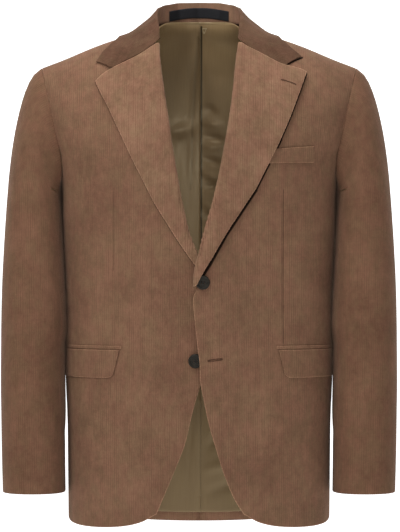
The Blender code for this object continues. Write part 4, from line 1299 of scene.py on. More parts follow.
class Graph:
    """A small helper to lay out nodes."""

    def __init__(self, tree: bpy.types.NodeTree) -> None:
        """Start on an empty tree."""
        self.tree = tree
        tree.nodes.clear()

    def node(self, kind: str, inputs: dict[str | int, Given] | None = None,
             **settings: object) -> bpy.types.Node:
        """Add a node.

        Args:
            kind: Its type.
            inputs: Sockets to link or values to set, by the names or numbers of its inputs.
            settings: Its properties.

        Returns:
            The node.
        """
        made = self.tree.nodes.new(kind)
        for name, value in settings.items():
            setattr(made, name, value)
        for name, value in (inputs or {}).items():
            self.join(value, made.inputs[name])
        return made

    def join(self, source: Given, target: Socket) -> None:
        """Link a socket, or set a value."""
        if isinstance(source, bpy.types.NodeSocket):
            self.tree.links.new(source, target)
        else:
            target.default_value = source

    def math(self, operation: str, *values: Socket | float) -> Socket:
        """Add a Math node and give its result."""
        return self.node("ShaderNodeMath", dict(enumerate(values)), operation=operation).outputs[0]

    def vector(self, operation: str, *values: Given, output: int = 0) -> Socket:
        """Add a Vector Math node and give one of its outputs."""
        made = self.node("ShaderNodeVectorMath", dict(enumerate(values)), operation=operation)
        return made.outputs[output]

    def split(self, vector: Socket) -> Sequence[Socket]:
        """The three parts of a vector."""
        return self.node("ShaderNodeSeparateXYZ", {0: vector}).outputs

    def mix(self, factor: Socket | float, first: Given, second: Given,
            blend: str = "MIX") -> Socket:
        """Mix two colours."""
        made = self.node("ShaderNodeMix", data_type="RGBA", blend_type=blend)
        for value, name in ((factor, "Factor_Float"), (first, "A_Color"), (second, "B_Color")):
            target = next(s for s in made.inputs if s.identifier == name)
            self.join((*value, 1.0) if isinstance(value, tuple) else value, target)
        return next(s for s in made.outputs if s.identifier == "Result_Color")

    def range(self, value: Socket, low: Given, high: Given, to_low: float = 0.0,
              to_high: float = 1.0, smooth: bool = True) -> Socket:
        """Map a range of values to another, held at the ends."""
        return self.node("ShaderNodeMapRange", dict(enumerate((value, low, high, to_low, to_high))),
                         interpolation_type="SMOOTHSTEP" if smooth else "LINEAR").outputs[0]

    def noise(self, vector: Socket, scale: float | Colour, detail: float = 2.0,
              rough: float = 0.6) -> Socket:
        """Noise of one scale, or of three scales along the axes."""
        if isinstance(scale, tuple):
            vector, scale = self.vector("MULTIPLY", vector, scale), 1.0
        values = {"Vector": vector, "Scale": scale, "Detail": detail, "Roughness": rough}
        return self.node("ShaderNodeTexNoise", values).outputs["Fac"]

    def bump(self, height: Socket, strength: float, distance: float,
             shader: bpy.types.Node) -> None:
        """Turn a shader's normals by a height."""
        values = {"Strength": strength, "Distance": distance, "Height": height}
        self.join(self.node("ShaderNodeBump", values).outputs[0], shader.inputs["Normal"])

    def place(self) -> Socket:
        """The place in the object."""
        return self.node("ShaderNodeTexCoord").outputs["Object"]

    def cloth(self) -> Socket:
        """The place on the cloth laid out flat, in metres."""
        return self.node("ShaderNodeUVMap", uv_map="cloth").outputs[0]


def group(name: str, vectors: Sequence[str], numbers: Sequence[str],
          results: Sequence[str]) -> tuple[Graph, Sequence[Socket], Sequence[Socket]]:
    """Start a shader node group.

    Args:
        name: Its name.
        vectors: Names of its inputs that are vectors.
        numbers: Names of its inputs that are values.
        results: Names of its outputs, all values.

    Returns:
        Its graph, what is given inside it and the sockets that take its results.
    """
    tree = bpy.data.node_groups.new(name, "ShaderNodeTree")
    for direction, kind, labels in (("INPUT", "Vector", vectors), ("INPUT", "Float", numbers),
                                    ("OUTPUT", "Float", results)):
        for label in labels:
            tree.interface.new_socket(label, in_out=direction, socket_type=f"NodeSocket{kind}")
    graph = Graph(tree)
    return graph, graph.node("NodeGroupInput").outputs, graph.node("NodeGroupOutput").inputs


def cord_group() -> bpy.types.NodeTree:
    """Where a place lies across its cord, and how the cut pile varies along it."""
    g, given, result = group("cords", ("Cloth", "Place"), (), ("Crown", "Nap", "Hue", "Pile"))
    place, cloth = given["Place"], given["Cloth"]
    turn = g.math("FRACT", g.math("DIVIDE", g.split(cloth)[0], CORDS.pitch))
    side = g.math("ABSOLUTE", g.math("SUBTRACT", g.math("MULTIPLY", turn, 2.0), 1.0))
    worn = g.range(g.noise(cloth, (150.0, 24.0, 1.0), 3.0, 0.65), 0.35, 0.70, 0.9, 0.25)
    crown = g.math("SUBTRACT", 1.0, g.math("MULTIPLY", g.math("POWER", side, CORDS.fullness), worn))
    wide = g.range(g.noise(place, 15.0, rough=0.5), 0.26, 0.74, smooth=False)
    small, streak, cross = (
        g.range(g.noise(g.vector("MULTIPLY", vector, stretch), *noise), 0.28, 0.72, smooth=False)
        for vector, stretch, noise in (
            (place, (1.0, 1.0, 0.8), (80.0, 5.0, 0.78)),
            (cloth, (430.0, 60.0, 1.0), (1.0,)),
            (cloth, (110.0, 520.0, 1.0), (1.0,)),
        )
    )
    nap = g.math("ADD", g.math("MULTIPLY", wide, 0.32), g.math("MULTIPLY", small, 0.46))
    nap = g.math("ADD", nap, g.math("MULTIPLY", g.math("ADD", streak, cross), 0.11))
    hue = g.range(g.noise(g.vector("MULTIPLY", place, (1.3, 1.3, 0.9)), 36.0, 4.0, 0.7), 0.36, 0.66)
    pile = g.noise(cloth, (2600.0, 1500.0, 1.0), rough=0.7)
    for value, target in zip((crown, nap, hue, pile), result):
        g.join(value, target)
    return g.tree


def shade_line_group() -> bpy.types.NodeTree:
    """How near a place lies to a straight line, as seen from the front: 1 on it, 0 away from it;
    the mask of painted shade.
    """
    g, given, result = group("line", ("Place", "Start", "End"), ("Near", "Far", "Depth"), ("Mask",))
    flat = g.vector("MULTIPLY", given["Place"], (1.0, 0.0, 1.0))
    reach = g.vector("SUBTRACT", flat, given["Start"])
    run = g.vector("SUBTRACT", given["End"], given["Start"])
    share = g.math("DIVIDE", *(g.vector("DOT_PRODUCT", way, run, output=1) for way in (reach, run)))
    share = g.math("MINIMUM", g.math("MAXIMUM", share, 0.0), 1.0)
    scaled = g.node("ShaderNodeVectorMath", {0: run, "Scale": share}, operation="SCALE")
    away = g.vector("LENGTH", g.vector("SUBTRACT", reach, scaled.outputs[0]), output=1)
    near = g.range(away, given["Near"], given["Far"], 1.0, 0.0)
    g.join(g.math("MULTIPLY", near, given["Depth"]), result["Mask"])
    return g.tree


def weave_group() -> bpy.types.NodeTree:
    """Threads over and under one another, as a height from 0 to 1."""
    g, given, result = group("weave", ("Cloth",), ("Thread",), ("Height",))
    across, up = (
        g.math("SINE", g.math("MULTIPLY", g.math("DIVIDE", part, given["Thread"]), 2 * math.pi))
        for part in g.split(given["Cloth"])[:2]
    )
    height = g.math("ADD", g.math("MULTIPLY", g.math("MULTIPLY", across, up), 0.5), 0.5)
    g.join(height, result["Height"])
    return g.tree


@dataclass(frozen=True)
class Groups:
    """The node groups that several materials use."""

    cords: bpy.types.NodeTree = field(default_factory=cord_group)
    weave: bpy.types.NodeTree = field(default_factory=weave_group)
    line: bpy.types.NodeTree = field(default_factory=shade_line_group)


@dataclass(frozen=True)
class ShadeLine:
    """A straight line, as seen from the front, along which shade is painted into the cloth's
    colour, where another edge or a fold shades it.

    Attributes:
        start: One end, across and up.
        end: The other end.
        near: Metres from it that are fully shaded.
        far: Metres from it where the shade ends.
        depth: Share of the colour that the painted shade takes away.
    """

    start: Place
    end: Place
    near: float
    far: float
    depth: float


@dataclass(frozen=True)
class Finish:
    """What every material has.

    Attributes:
        name: Its name.
        colour: Its main colour, linear.
        roughness: The shader's roughness.
        sheen: The shader's sheen weight.
        sheen_roughness: The shader's sheen roughness.
        specular: The shader's specular level.
        tint: Colour of its sheen and shine.
        lines: Where painted shade darkens its colour.
    """

    name: str
    colour: Colour
    roughness: float
    sheen: float = 0.0
    sheen_roughness: float = 0.5
    specular: float = 0.5
    tint: Colour = WHITE
    lines: tuple[ShadeLine, ...] = ()

    def start(self) -> tuple[bpy.types.Material, Graph, bpy.types.Node]:
        """Make the material with its shader and output."""
        made = bpy.data.materials.new(self.name)
        made.use_nodes = True
        graph = Graph(made.node_tree)
        colour, tint = (*self.colour, 1.0), (*self.tint, 1.0)
        shader = graph.node("ShaderNodeBsdfPrincipled", {
            "Base Color": colour, "Roughness": self.roughness, "Sheen Weight": self.sheen,
            "Sheen Roughness": self.sheen_roughness, "Sheen Tint": tint, "Specular Tint": tint,
            "Specular IOR Level": self.specular,
        })
        graph.node("ShaderNodeOutputMaterial", {"Surface": shader.outputs[0]})
        made.diffuse_color = colour
        return made, graph, shader

    def shaded(self, g: Graph, place: Socket, colour: Socket, line: bpy.types.NodeTree) -> Socket:
        """Darken a colour along the lines: painted shade."""
        dark = 0.0
        for item in self.lines:
            (x, z), (end_x, end_z) = item.start, item.end
            mark = g.node("ShaderNodeGroup", node_tree=line)
            for name, value in {"Place": place, "Start": (x, 0.0, z), "End": (end_x, 0.0, end_z),
                                "Near": item.near, "Far": item.far, "Depth": item.depth}.items():
                g.join(value, mark.inputs[name])
            dark = g.math("MAXIMUM", dark, mark.outputs[0])
        return g.mix(dark, colour, BLACK) if self.lines else colour


@dataclass(frozen=True)
class Corduroy(Finish):
    """Fine corduroy.

    Attributes:
        valley: Colour between the cords: the ground weave, darkened with painted shade in the
            grooves.
        brushed: Colour where the pile is brushed towards the light.
        edge: How much lighter its own edges are: partly the pile's wear, mostly a painted highlight
            where the rolled edge catches the light.
        edge_highlight_width: Metres from the edge to where that ends.
    """

    valley: Colour = (0.115, 0.059, 0.037)
    brushed: Colour = (0.198, 0.111, 0.068)
    edge: float = 0.1
    edge_highlight_width: float = 1.5 * MM

    def build(self, groups: Groups) -> bpy.types.Material:
        """Make the material."""
        made, g, shader = self.start()
        place, cloth = g.place(), g.cloth()
        pattern = g.node("ShaderNodeGroup", node_tree=groups.cords)
        g.join(cloth, pattern.inputs["Cloth"])
        g.join(place, pattern.inputs["Place"])
        crown, nap, hue, pile = pattern.outputs
        top = g.mix(g.range(nap, 0.24, 0.76, smooth=False), self.colour, self.brushed)
        top = g.mix(1.0, top, g.mix(hue, (1.045, 0.975, 0.985), (0.965, 1.01, 0.955)), "MULTIPLY")
        # painted shade in the grooves between the cords
        body = g.mix(g.range(crown, 0.0, 0.85), self.valley, top)
        fleck = g.range(pile, 0.3, 0.7, 0.9, 1.1, smooth=False)
        # painted highlight along the piece's own edges, broken into dots, with some wear of the
        # pile
        away = g.node("ShaderNodeAttribute", attribute_name="away").outputs["Fac"]
        highlight_dots = g.range(g.noise(place, 520.0), 0.40, 0.60, 0.45, 1.35)
        light = g.math("MULTIPLY", highlight_dots, g.range(away, 0.0, self.edge_highlight_width, self.edge, 0.0))
        tone = g.math("MULTIPLY", fleck, g.math("ADD", 1.0, light))
        grey = g.node("ShaderNodeCombineColor", {0: tone, 1: tone, 2: tone}).outputs[0]
        seen = g.mix(1.0, body, grey, "MULTIPLY")
        g.join(self.shaded(g, place, seen, groups.line), shader.inputs["Base Color"])
        rough = g.range(nap, 0.2, 0.8, self.roughness + 0.05, self.roughness - 0.05)
        g.join(rough, shader.inputs["Roughness"])
        g.bump(pile, 0.55, 0.25 * MM, shader)
        return made


@dataclass(frozen=True)
class Satin(Finish):
    """Lining satin, or woven tape.

    Attributes:
        cross: The colour that its other threads lend it.
        thread: Metres from thread to thread.
        relief: How strongly the threads show.
        low: How much darker it is near the hem: painted shade, as if the jacket's own shade fell
            there.
    """

    cross: Colour = (0.285, 0.196, 0.098)
    thread: float = 0.35 * MM
    relief: float = 0.2
    low: float = 0.0

    def build(self, groups: Groups) -> bpy.types.Material:
        """Make the material."""
        made, g, shader = self.start()
        place, cloth = g.place(), g.cloth()
        threads = g.node("ShaderNodeGroup", node_tree=groups.weave)
        g.join(cloth, threads.inputs["Cloth"])
        g.join(self.thread, threads.inputs["Thread"])
        slub = g.range(g.noise(cloth, (900.0, 22.0, 1.0)), 0.35, 0.68)
        wide = g.noise(g.vector("MULTIPLY", place, (1.0, 1.0, 0.5)), 13.0, rough=0.5)
        wide = g.range(wide, 0.35, 0.65)
        share = g.math("ADD", g.math("MULTIPLY", wide, 0.7), g.math("MULTIPLY", slub, 0.3))
        # painted shade: darker towards the hem
        low = g.range(g.split(place)[2], -0.50, -0.25, self.low, 0.0)
        seen = g.mix(low, g.mix(share, self.colour, self.cross), BLACK)
        g.join(self.shaded(g, place, seen, groups.line), shader.inputs["Base Color"])
        rough = g.range(slub, 0.0, 1.0, self.roughness - 0.04, self.roughness + 0.08)
        g.join(rough, shader.inputs["Roughness"])
        g.bump(threads.outputs["Height"], self.relief, 0.1 * MM, shader)
        return made


@dataclass(frozen=True)
class Horn(Finish):
    """Dark horn-like resin with faint streaks."""

    streak: Colour = (0.024, 0.019, 0.013)

    def build(self, groups: Groups) -> bpy.types.Material:
        """Make the material."""
        made, g, shader = self.start()
        place = g.place()
        band = g.noise(g.vector("MULTIPLY", place, (1.0, 1.0, 3.2)), 210.0, 3.0)
        seen = g.mix(g.range(band, 0.42, 0.72), self.colour, self.streak)
        g.join(seen, shader.inputs["Base Color"])
        fine = g.noise(place, 900.0)
        rough = g.range(fine, 0.3, 0.7, self.roughness - 0.05, self.roughness + 0.08)
        g.join(rough, shader.inputs["Roughness"])
        g.bump(fine, 0.08, 0.1 * MM, shader)
        return made


@dataclass(frozen=True)
class Thread(Finish):
    """Sewing thread, with the twist of its plies."""

    def build(self, groups: Groups) -> bpy.types.Material:
        """Make the material."""
        made, g, shader = self.start()
        twist = g.noise(g.place(), 2400.0)
        dark = tuple(0.6 * part for part in self.colour)
        g.join(g.mix(g.range(twist, 0.35, 0.65), dark, self.colour), shader.inputs["Base Color"])
        g.bump(twist, 0.4, 0.1 * MM, shader)
        return made


def lapel_shadow_lines(side: Side) -> tuple[ShadeLine, ...]:
    """Painted shadow where a lapel's outer edge shades the front; wider where the lapel rolls off
    the front.
    """
    turn = 1.0 if side.upper else -1.0
    ends = [(turn * float(x), float(z)) for x, z in LAPEL_EDGE[side]]
    lines = []
    for first, second in zip(ends, ends[1:]):
        low = float(window(-(first[1] + second[1]) / 2, 0.08, 0.27))
        wide = (2.2 + 2.2 * low) * MM if side.upper else 0.5 * MM
        lines.append(ShadeLine(first, second, 0.7 * wide, wide + 0.9 * MM, 0.95 if side.upper else 0.3))
    if side.upper:
        # painted shadow in the slit of the notch, between the collar's end and the lapel
        lines.append(ShadeLine((0.1235, -0.0445), (0.1530, -0.0300), 0.9 * MM, 2.0 * MM, 0.9))
    return tuple(lines)


# painted shade along the darts' creases
DART_SHADE = {
    Side.UPPER: (ShadeLine((0.1232, -0.228), (0.1232, -0.452), 0.2 * MM, 1.1 * MM, 0.42),),
    Side.UNDER: (ShadeLine((-0.1252, -0.225), (-0.1252, -0.345), 0.2 * MM, 1.1 * MM, 0.26),),
}
# painted shade on the lining: along its top under the collar, the pleat's shadow beside its fold,
# and the fold's soft hollows
PLEAT_SHADE_LINES = (
    ShadeLine((-0.075, 0.0325), (0.075, 0.0325), 1.5 * MM, 5.0 * MM, 0.45),
    ShadeLine((0.0038, 0.0262), (0.0036, -0.320), 0.6 * MM, 1.9 * MM, 0.88),
    ShadeLine((-0.0010, 0.010), (-0.0100, -0.110), 0.5 * MM, 5.0 * MM, 0.28),
    ShadeLine((-0.0100, -0.110), (-0.0125, -0.220), 0.5 * MM, 3.0 * MM, 0.25),
)
PILE = dict(roughness=0.9, sheen=0.13, sheen_roughness=0.4, specular=0.08, tint=(1.0, 0.78, 0.62))
CLOTH_COLOUR = (0.127, 0.067, 0.042)
FINISHES = dict(
    body=Corduroy("corduroy_body", CLOTH_COLOUR, **PILE),
    trim=Corduroy("corduroy_trim", CLOTH_COLOUR, edge=0.50, **PILE),
    # darker than the body's cloth: painted shade of sleeves turned from the light, with the nap
    # lying another way
    sleeve=Corduroy("corduroy_sleeve", (0.108, 0.056, 0.034), valley=(0.098, 0.049, 0.030),
                    brushed=(0.166, 0.090, 0.055), **PILE),
    # lighter than the body's cloth: painted light on the lapels
    lapel=Corduroy("corduroy_lapel", (0.142, 0.076, 0.047), valley=(0.128, 0.066, 0.041),
                   brushed=(0.238, 0.136, 0.085), edge=0.62, edge_highlight_width=1.9 * MM, **PILE),
    # about half as light as the body's cloth: painted shade, with the cords running another way to
    # the top light
    collar=Corduroy("corduroy_collar", (0.067, 0.034, 0.0205), valley=(0.058, 0.029, 0.018),
                    brushed=(0.117, 0.063, 0.0385), edge=0.35, edge_highlight_width=2.2 * MM, **PILE),
    # lighter than the body's cloth: painted light on the stand inside the neck
    stand=Corduroy("corduroy_stand", (0.180, 0.098, 0.064), valley=(0.162, 0.087, 0.056),
                   brushed=(0.260, 0.149, 0.096), edge=0.2, edge_highlight_width=2.2 * MM, **PILE),
    lining=Satin("lining_satin", (0.215, 0.142, 0.072), 0.33, tint=(1.0, 0.84, 0.56),
                 lines=PLEAT_SHADE_LINES, low=0.36),
    label=Satin("label_cloth", (0.006, 0.006, 0.007), 0.7, specular=0.2,
                cross=(0.010, 0.010, 0.012), thread=0.6 * MM, relief=0.5),
    horn=Horn("button_horn", (0.012, 0.010, 0.007), 0.45, specular=0.16),
    thread=Thread("sewing_thread", (0.090, 0.043, 0.026), 0.8, specular=0.1),
    black=Thread("button_thread", (0.022, 0.018, 0.014), 0.7, specular=0.2),
    gold=Thread("bartack_thread", (0.46, 0.36, 0.20), 0.6),
)


@dataclass(frozen=True)
class Wardrobe:
    """Every material of the jacket."""

    fronts: dict[Side, bpy.types.Material]
    body: bpy.types.Material
    trim: bpy.types.Material
    sleeve: bpy.types.Material
    lapel: bpy.types.Material
    collar: bpy.types.Material
    stand: bpy.types.Material
    lining: bpy.types.Material
    label: bpy.types.Material
    horn: bpy.types.Material
    thread: bpy.types.Material
    black: bpy.types.Material
    gold: bpy.types.Material

    @classmethod
    def make(cls) -> "Wardrobe":
        """Make them all."""
        groups = Groups()
        # the fronts get the strongest painted highlight on their edges, and painted shade from the
        # lapels and darts
        fronts = {side: Corduroy(f"corduroy_front_{side.value}", CLOTH_COLOUR, edge=0.85,
                                 lines=lapel_shadow_lines(side) + DART_SHADE[side], **PILE) for side in Side}
        return cls(fronts={side: finish.build(groups) for side, finish in fronts.items()},
                   **{name: finish.build(groups) for name, finish in FINISHES.items()})


# ---- the jacket's cloth -------------------------------------------------------------------------


def creases(*rows: tuple[float, ...]) -> tuple[Crease, ...]:
    """Creases by both ends in metres, width and depth in millimetres."""
    return tuple(Crease(row[:2], row[2:4], row[4] * MM, row[5] * MM) for row in rows)


SIDE_CONTACT = creases(  # the sides press softly against the sleeves
    (0.2050, -0.185, 0.2010, -0.400, 9.0, 1.1), (0.2005, -0.370, 0.1970, -0.560, 8.0, 1.4),
    (0.1985, -0.420, 0.1975, -0.535, 8.0, 1.5),
)
UPPER_CREASES = SIDE_CONTACT + creases(
    (0.1225, -0.236, 0.1225, -0.451, 1.5, -1.3), (0.1195, -0.245, 0.1195, -0.440, 2.0, 0.5),
    (0.1225, -0.300, 0.1225, -0.400, 16.0, -1.2), (0.160, -0.122, 0.187, -0.149, 6.0, -2.2),
    (0.150, -0.128, 0.174, -0.156, 8.0, 1.0), (0.030, -0.372, 0.095, -0.350, 9.0, -1.0),
    (0.026, -0.400, 0.088, -0.425, 12.0, -0.9), (0.150, -0.290, 0.185, -0.380, 15.0, -1.3),
)
UNDER_CREASES = SIDE_CONTACT + creases(
    (0.1245, -0.225, 0.1245, -0.446, 1.5, -1.3), (0.1215, -0.235, 0.1215, -0.440, 2.0, 0.6),
    (0.1230, -0.300, 0.1230, -0.400, 16.0, -1.2), (0.166, -0.132, 0.186, -0.158, 7.0, -1.4),
    (0.034, -0.378, 0.100, -0.356, 10.0, -1.1), (0.024, -0.415, 0.080, -0.436, 12.0, -0.8),
    (0.156, -0.300, 0.184, -0.372, 14.0, -1.1),
)
BACK_CREASES = creases(
    (0.150, -0.155, 0.188, -0.215, 12.0, -2.0), (0.130, -0.170, 0.176, -0.240, 15.0, 1.2),
    (0.060, -0.330, 0.150, -0.352, 14.0, -1.3), (0.070, -0.362, 0.160, -0.380, 15.0, 1.0),
    (0.040, -0.052, 0.100, -0.075, 16.0, -1.1),
)
SLEEVE_CREASES = creases(  # laid out flat: across from the crown line, up from the cuff
    (-0.105, 0.275, -0.030, 0.245, 11.0, -2.0), (-0.100, 0.240, -0.045, 0.205, 9.0, -1.6),
    (-0.098, 0.255, -0.036, 0.226, 9.0, 1.1), (0.020, 0.300, 0.095, 0.262, 12.0, -1.8),
    (0.030, 0.236, 0.090, 0.212, 10.0, -1.4), (-0.112, 0.420, -0.050, 0.382, 12.0, -1.7),
    (-0.090, 0.105, -0.030, 0.085, 12.0, -1.2), (-0.060, 0.475, -0.040, 0.350, 16.0, 1.2),
    (0.060, 0.470, 0.080, 0.360, 18.0, -1.4), (-0.004, 0.500, 0.004, 0.150, 20.0, 0.6),
)
UNDER_SLEEVE_CREASES = creases(
    (0.0210, 0.540, 0.0210, 0.200, 16.0, 1.5), (0.0210, 0.285, 0.0210, 0.105, 17.0, 2.5),
    (-0.040, 0.300, 0.035, 0.262, 11.0, -1.8), (-0.038, 0.240, 0.030, 0.215, 10.0, -1.5),
    (-0.030, 0.110, 0.030, 0.085, 11.0, -1.2),
)
PLEAT_FOLD = creases(
    (0.0010, 0.020, 0.0110, -0.110, 5.0, 1.4), (0.0110, -0.110, 0.0130, -0.200, 5.0, 0.9),
    (0.0100, -0.126, 0.0480, -0.134, 10.0, 3.6), (0.0140, -0.560, 0.0200, -0.690, 9.0, -1.6),
)
LINING_CREASES = creases(
    (0.009, -0.096, 0.026, -0.100, 5.0, -3.2), (0.008, -0.118, 0.034, -0.122, 4.5, 2.6),
    (0.008, -0.139, 0.040, -0.144, 5.0, -3.6), (0.008, -0.157, 0.036, -0.152, 4.0, 2.4),
    (0.008, -0.175, 0.036, -0.181, 5.0, -3.4), (0.008, -0.197, 0.038, -0.207, 4.5, 2.6),
    (0.008, -0.220, 0.036, -0.214, 4.5, -3.0), (0.006, -0.244, 0.030, -0.256, 5.0, 2.2),
    (0.006, -0.268, 0.030, -0.262, 5.0, -2.4), (0.010, -0.050, 0.045, -0.042, 9.0, -1.4),
    (0.014, -0.620, 0.042, -0.590, 6.0, -2.2), (0.010, -0.655, 0.060, -0.640, 7.0, 1.8),
    (0.016, -0.690, 0.070, -0.668, 7.0, -2.0), (0.030, -0.520, 0.120, -0.545, 14.0, -1.0),
)


class Tailor:
    def __init__(self, wardrobe: Wardrobe) -> None:
        """Keep the materials."""
        self.wardrobe = wardrobe

    def piece(self, kind: str, side: Side | None, form: Form, border: Array,
              outer: bpy.types.Material, inner: bpy.types.Material, making: Making = Making(),
              relief: Relief | None = None,
              suffix: str = "cloth") -> bpy.types.Object:
        """Make one piece of cloth, in place of its node.

        Args:
            kind: The node it replaces, without its side.
            side: Its side, or None where there is only one.
            form: What it lies on.
            border: Its border in the form's coordinates.
            outer: Material of its right side.
            inner: Material of its wrong side.
            making: Its thickness and how finely it is made.
            relief: Its creases.
            suffix: What its name adds to the node's.

        Returns:
            The new object.
        """
        node = f"{kind}_{side.value}" if side else kind
        outline = anticlockwise(form.flatten(border))
        cloth = Cloth(f"{node}_{suffix}", outline, form.lay, making, relief)
        return cloth.declare(cloth.build(outer, inner, side is Side.UNDER), node)

    def body(self) -> None:
        """The fronts and the back."""
        w = self.wardrobe
        for side in Side:
            relief = seen_creases(*(UPPER_CREASES if side.upper else UNDER_CREASES))
            self.piece("front", side, face_form(FRONT, side), front_border(side),
                       w.fronts[side], w.lining, relief=relief)
        form, border = face_form(BACK), back_border()
        for side in Side:
            self.piece("back", side, form, border, w.body, w.body,
                       relief=seen_creases(*BACK_CREASES))

    def lapels_and_collar(self) -> None:
        """The lapels and the collar."""
        w = self.wardrobe
        for side in Side:
            net = lapel_net(side)
            self.piece("lapel", side, upright_form(net), net_border(net), w.lapel, w.body,
                       Making(LAPEL_WALL, 8 * MM, 0.7 * MM))
        net = collar_net()
        form = net_form(net, (net.points.shape[1] - 1) / 2, row=5.0)
        made = self.piece("collar", None, form, net_border(net), w.collar, w.body,
                          Making(LAPEL_WALL, 4 * MM, 0.7 * MM))
        made.data.materials.append(w.stand)
        for face in made.data.polygons:
            x, y = face.center[0], face.center[1] - SEAM_Y
            outward = (face.normal[0] * x + face.normal[1] * y) / math.hypot(x, y)
            if face.material_index == 0 and outward < -0.5:
                face.material_index = 2  # the stand, seen inside the neck

    def sleeves(self) -> None:
        """Both sleeves, each of two pieces."""
        w = self.wardrobe
        first, last = TOP_TURNS
        crown = (90.0 - first) / (last - first) * (TOP_COLUMNS - 1)
        middle = (UNDER_COLUMNS - 1) / 2
        for kind, turns, columns, line, folds in (
            ("top_sleeve", TOP_TURNS, TOP_COLUMNS, crown, SLEEVE_CREASES),
            ("under_sleeve", UNDER_TURNS, UNDER_COLUMNS, middle, UNDER_SLEEVE_CREASES),
        ):
            net = sleeve_net(turns, columns)
            form, border = net_form(net, line), net_border(net)
            for side in Side:
                self.piece(kind, side, form, border, w.sleeve, w.lining,
                           Making(coarse=(5 * MM, 5 * MM)), flat_creases(*folds))

    def pockets(self) -> None:
        """The flaps and jets of the hip pockets, and the breast pocket's welt."""
        w = self.wardrobe
        for side in Side:
            for kind, strip, rows, making in (
                ("flap", FLAP, 4, Making(CLOTH, 3 * MM, 0.6 * MM)),
                ("jet", JET, 2, Making(1.2 * MM, 3 * MM, 0.4 * MM)),
            ):
                net, angle, level = strip.net(side, rows)
                self.piece(kind, side, matched_form(net, angle, level), net_border(net),
                           w.trim, w.body, making)
        net, angle, level = welt_net()
        self.piece("breast_welt", None, matched_form(net, angle, level), net_border(net),
                   w.trim, w.body, Making(1.8 * MM, 4 * MM, 0.6 * MM))

    def inside(self) -> None:
        """The back's lining and the bare label."""
        w = self.wardrobe
        satin = Making(LINING, 5 * MM, 0.2 * MM, coarse=(3 * MM, 5 * MM), column=3 * MM)
        for side in Side:
            net = lining_net(not side.upper)
            relief = seen_creases(*(LINING_CREASES if side.upper else PLEAT_FOLD))
            self.piece("lining", side, net_form(net, 0.0, (1.0, 1.0, 0.0)), net_border(net),
                       w.lining, w.lining, satin, relief)
        net = label_net()
        tape = Making(1.0 * MM, 3 * MM, 0.2 * MM, coarse=(2 * MM, 3 * MM), column=2 * MM)
        self.piece("label", None, net_form(net, 6.0), net_border(net), w.label, w.label,
                   tape, suffix="cloth_piece")


def anticlockwise(outline: Array) -> Array:
    """The outline without doubled points, turned anticlockwise."""
    keep = np.linalg.norm(outline - np.roll(outline, 1, axis=0), axis=1) > 0.02 * MM
    outline = outline[keep]
    x, y = outline.T
    return outline if x @ np.roll(y, -1) > y @ np.roll(x, -1) else outline[::-1].copy()


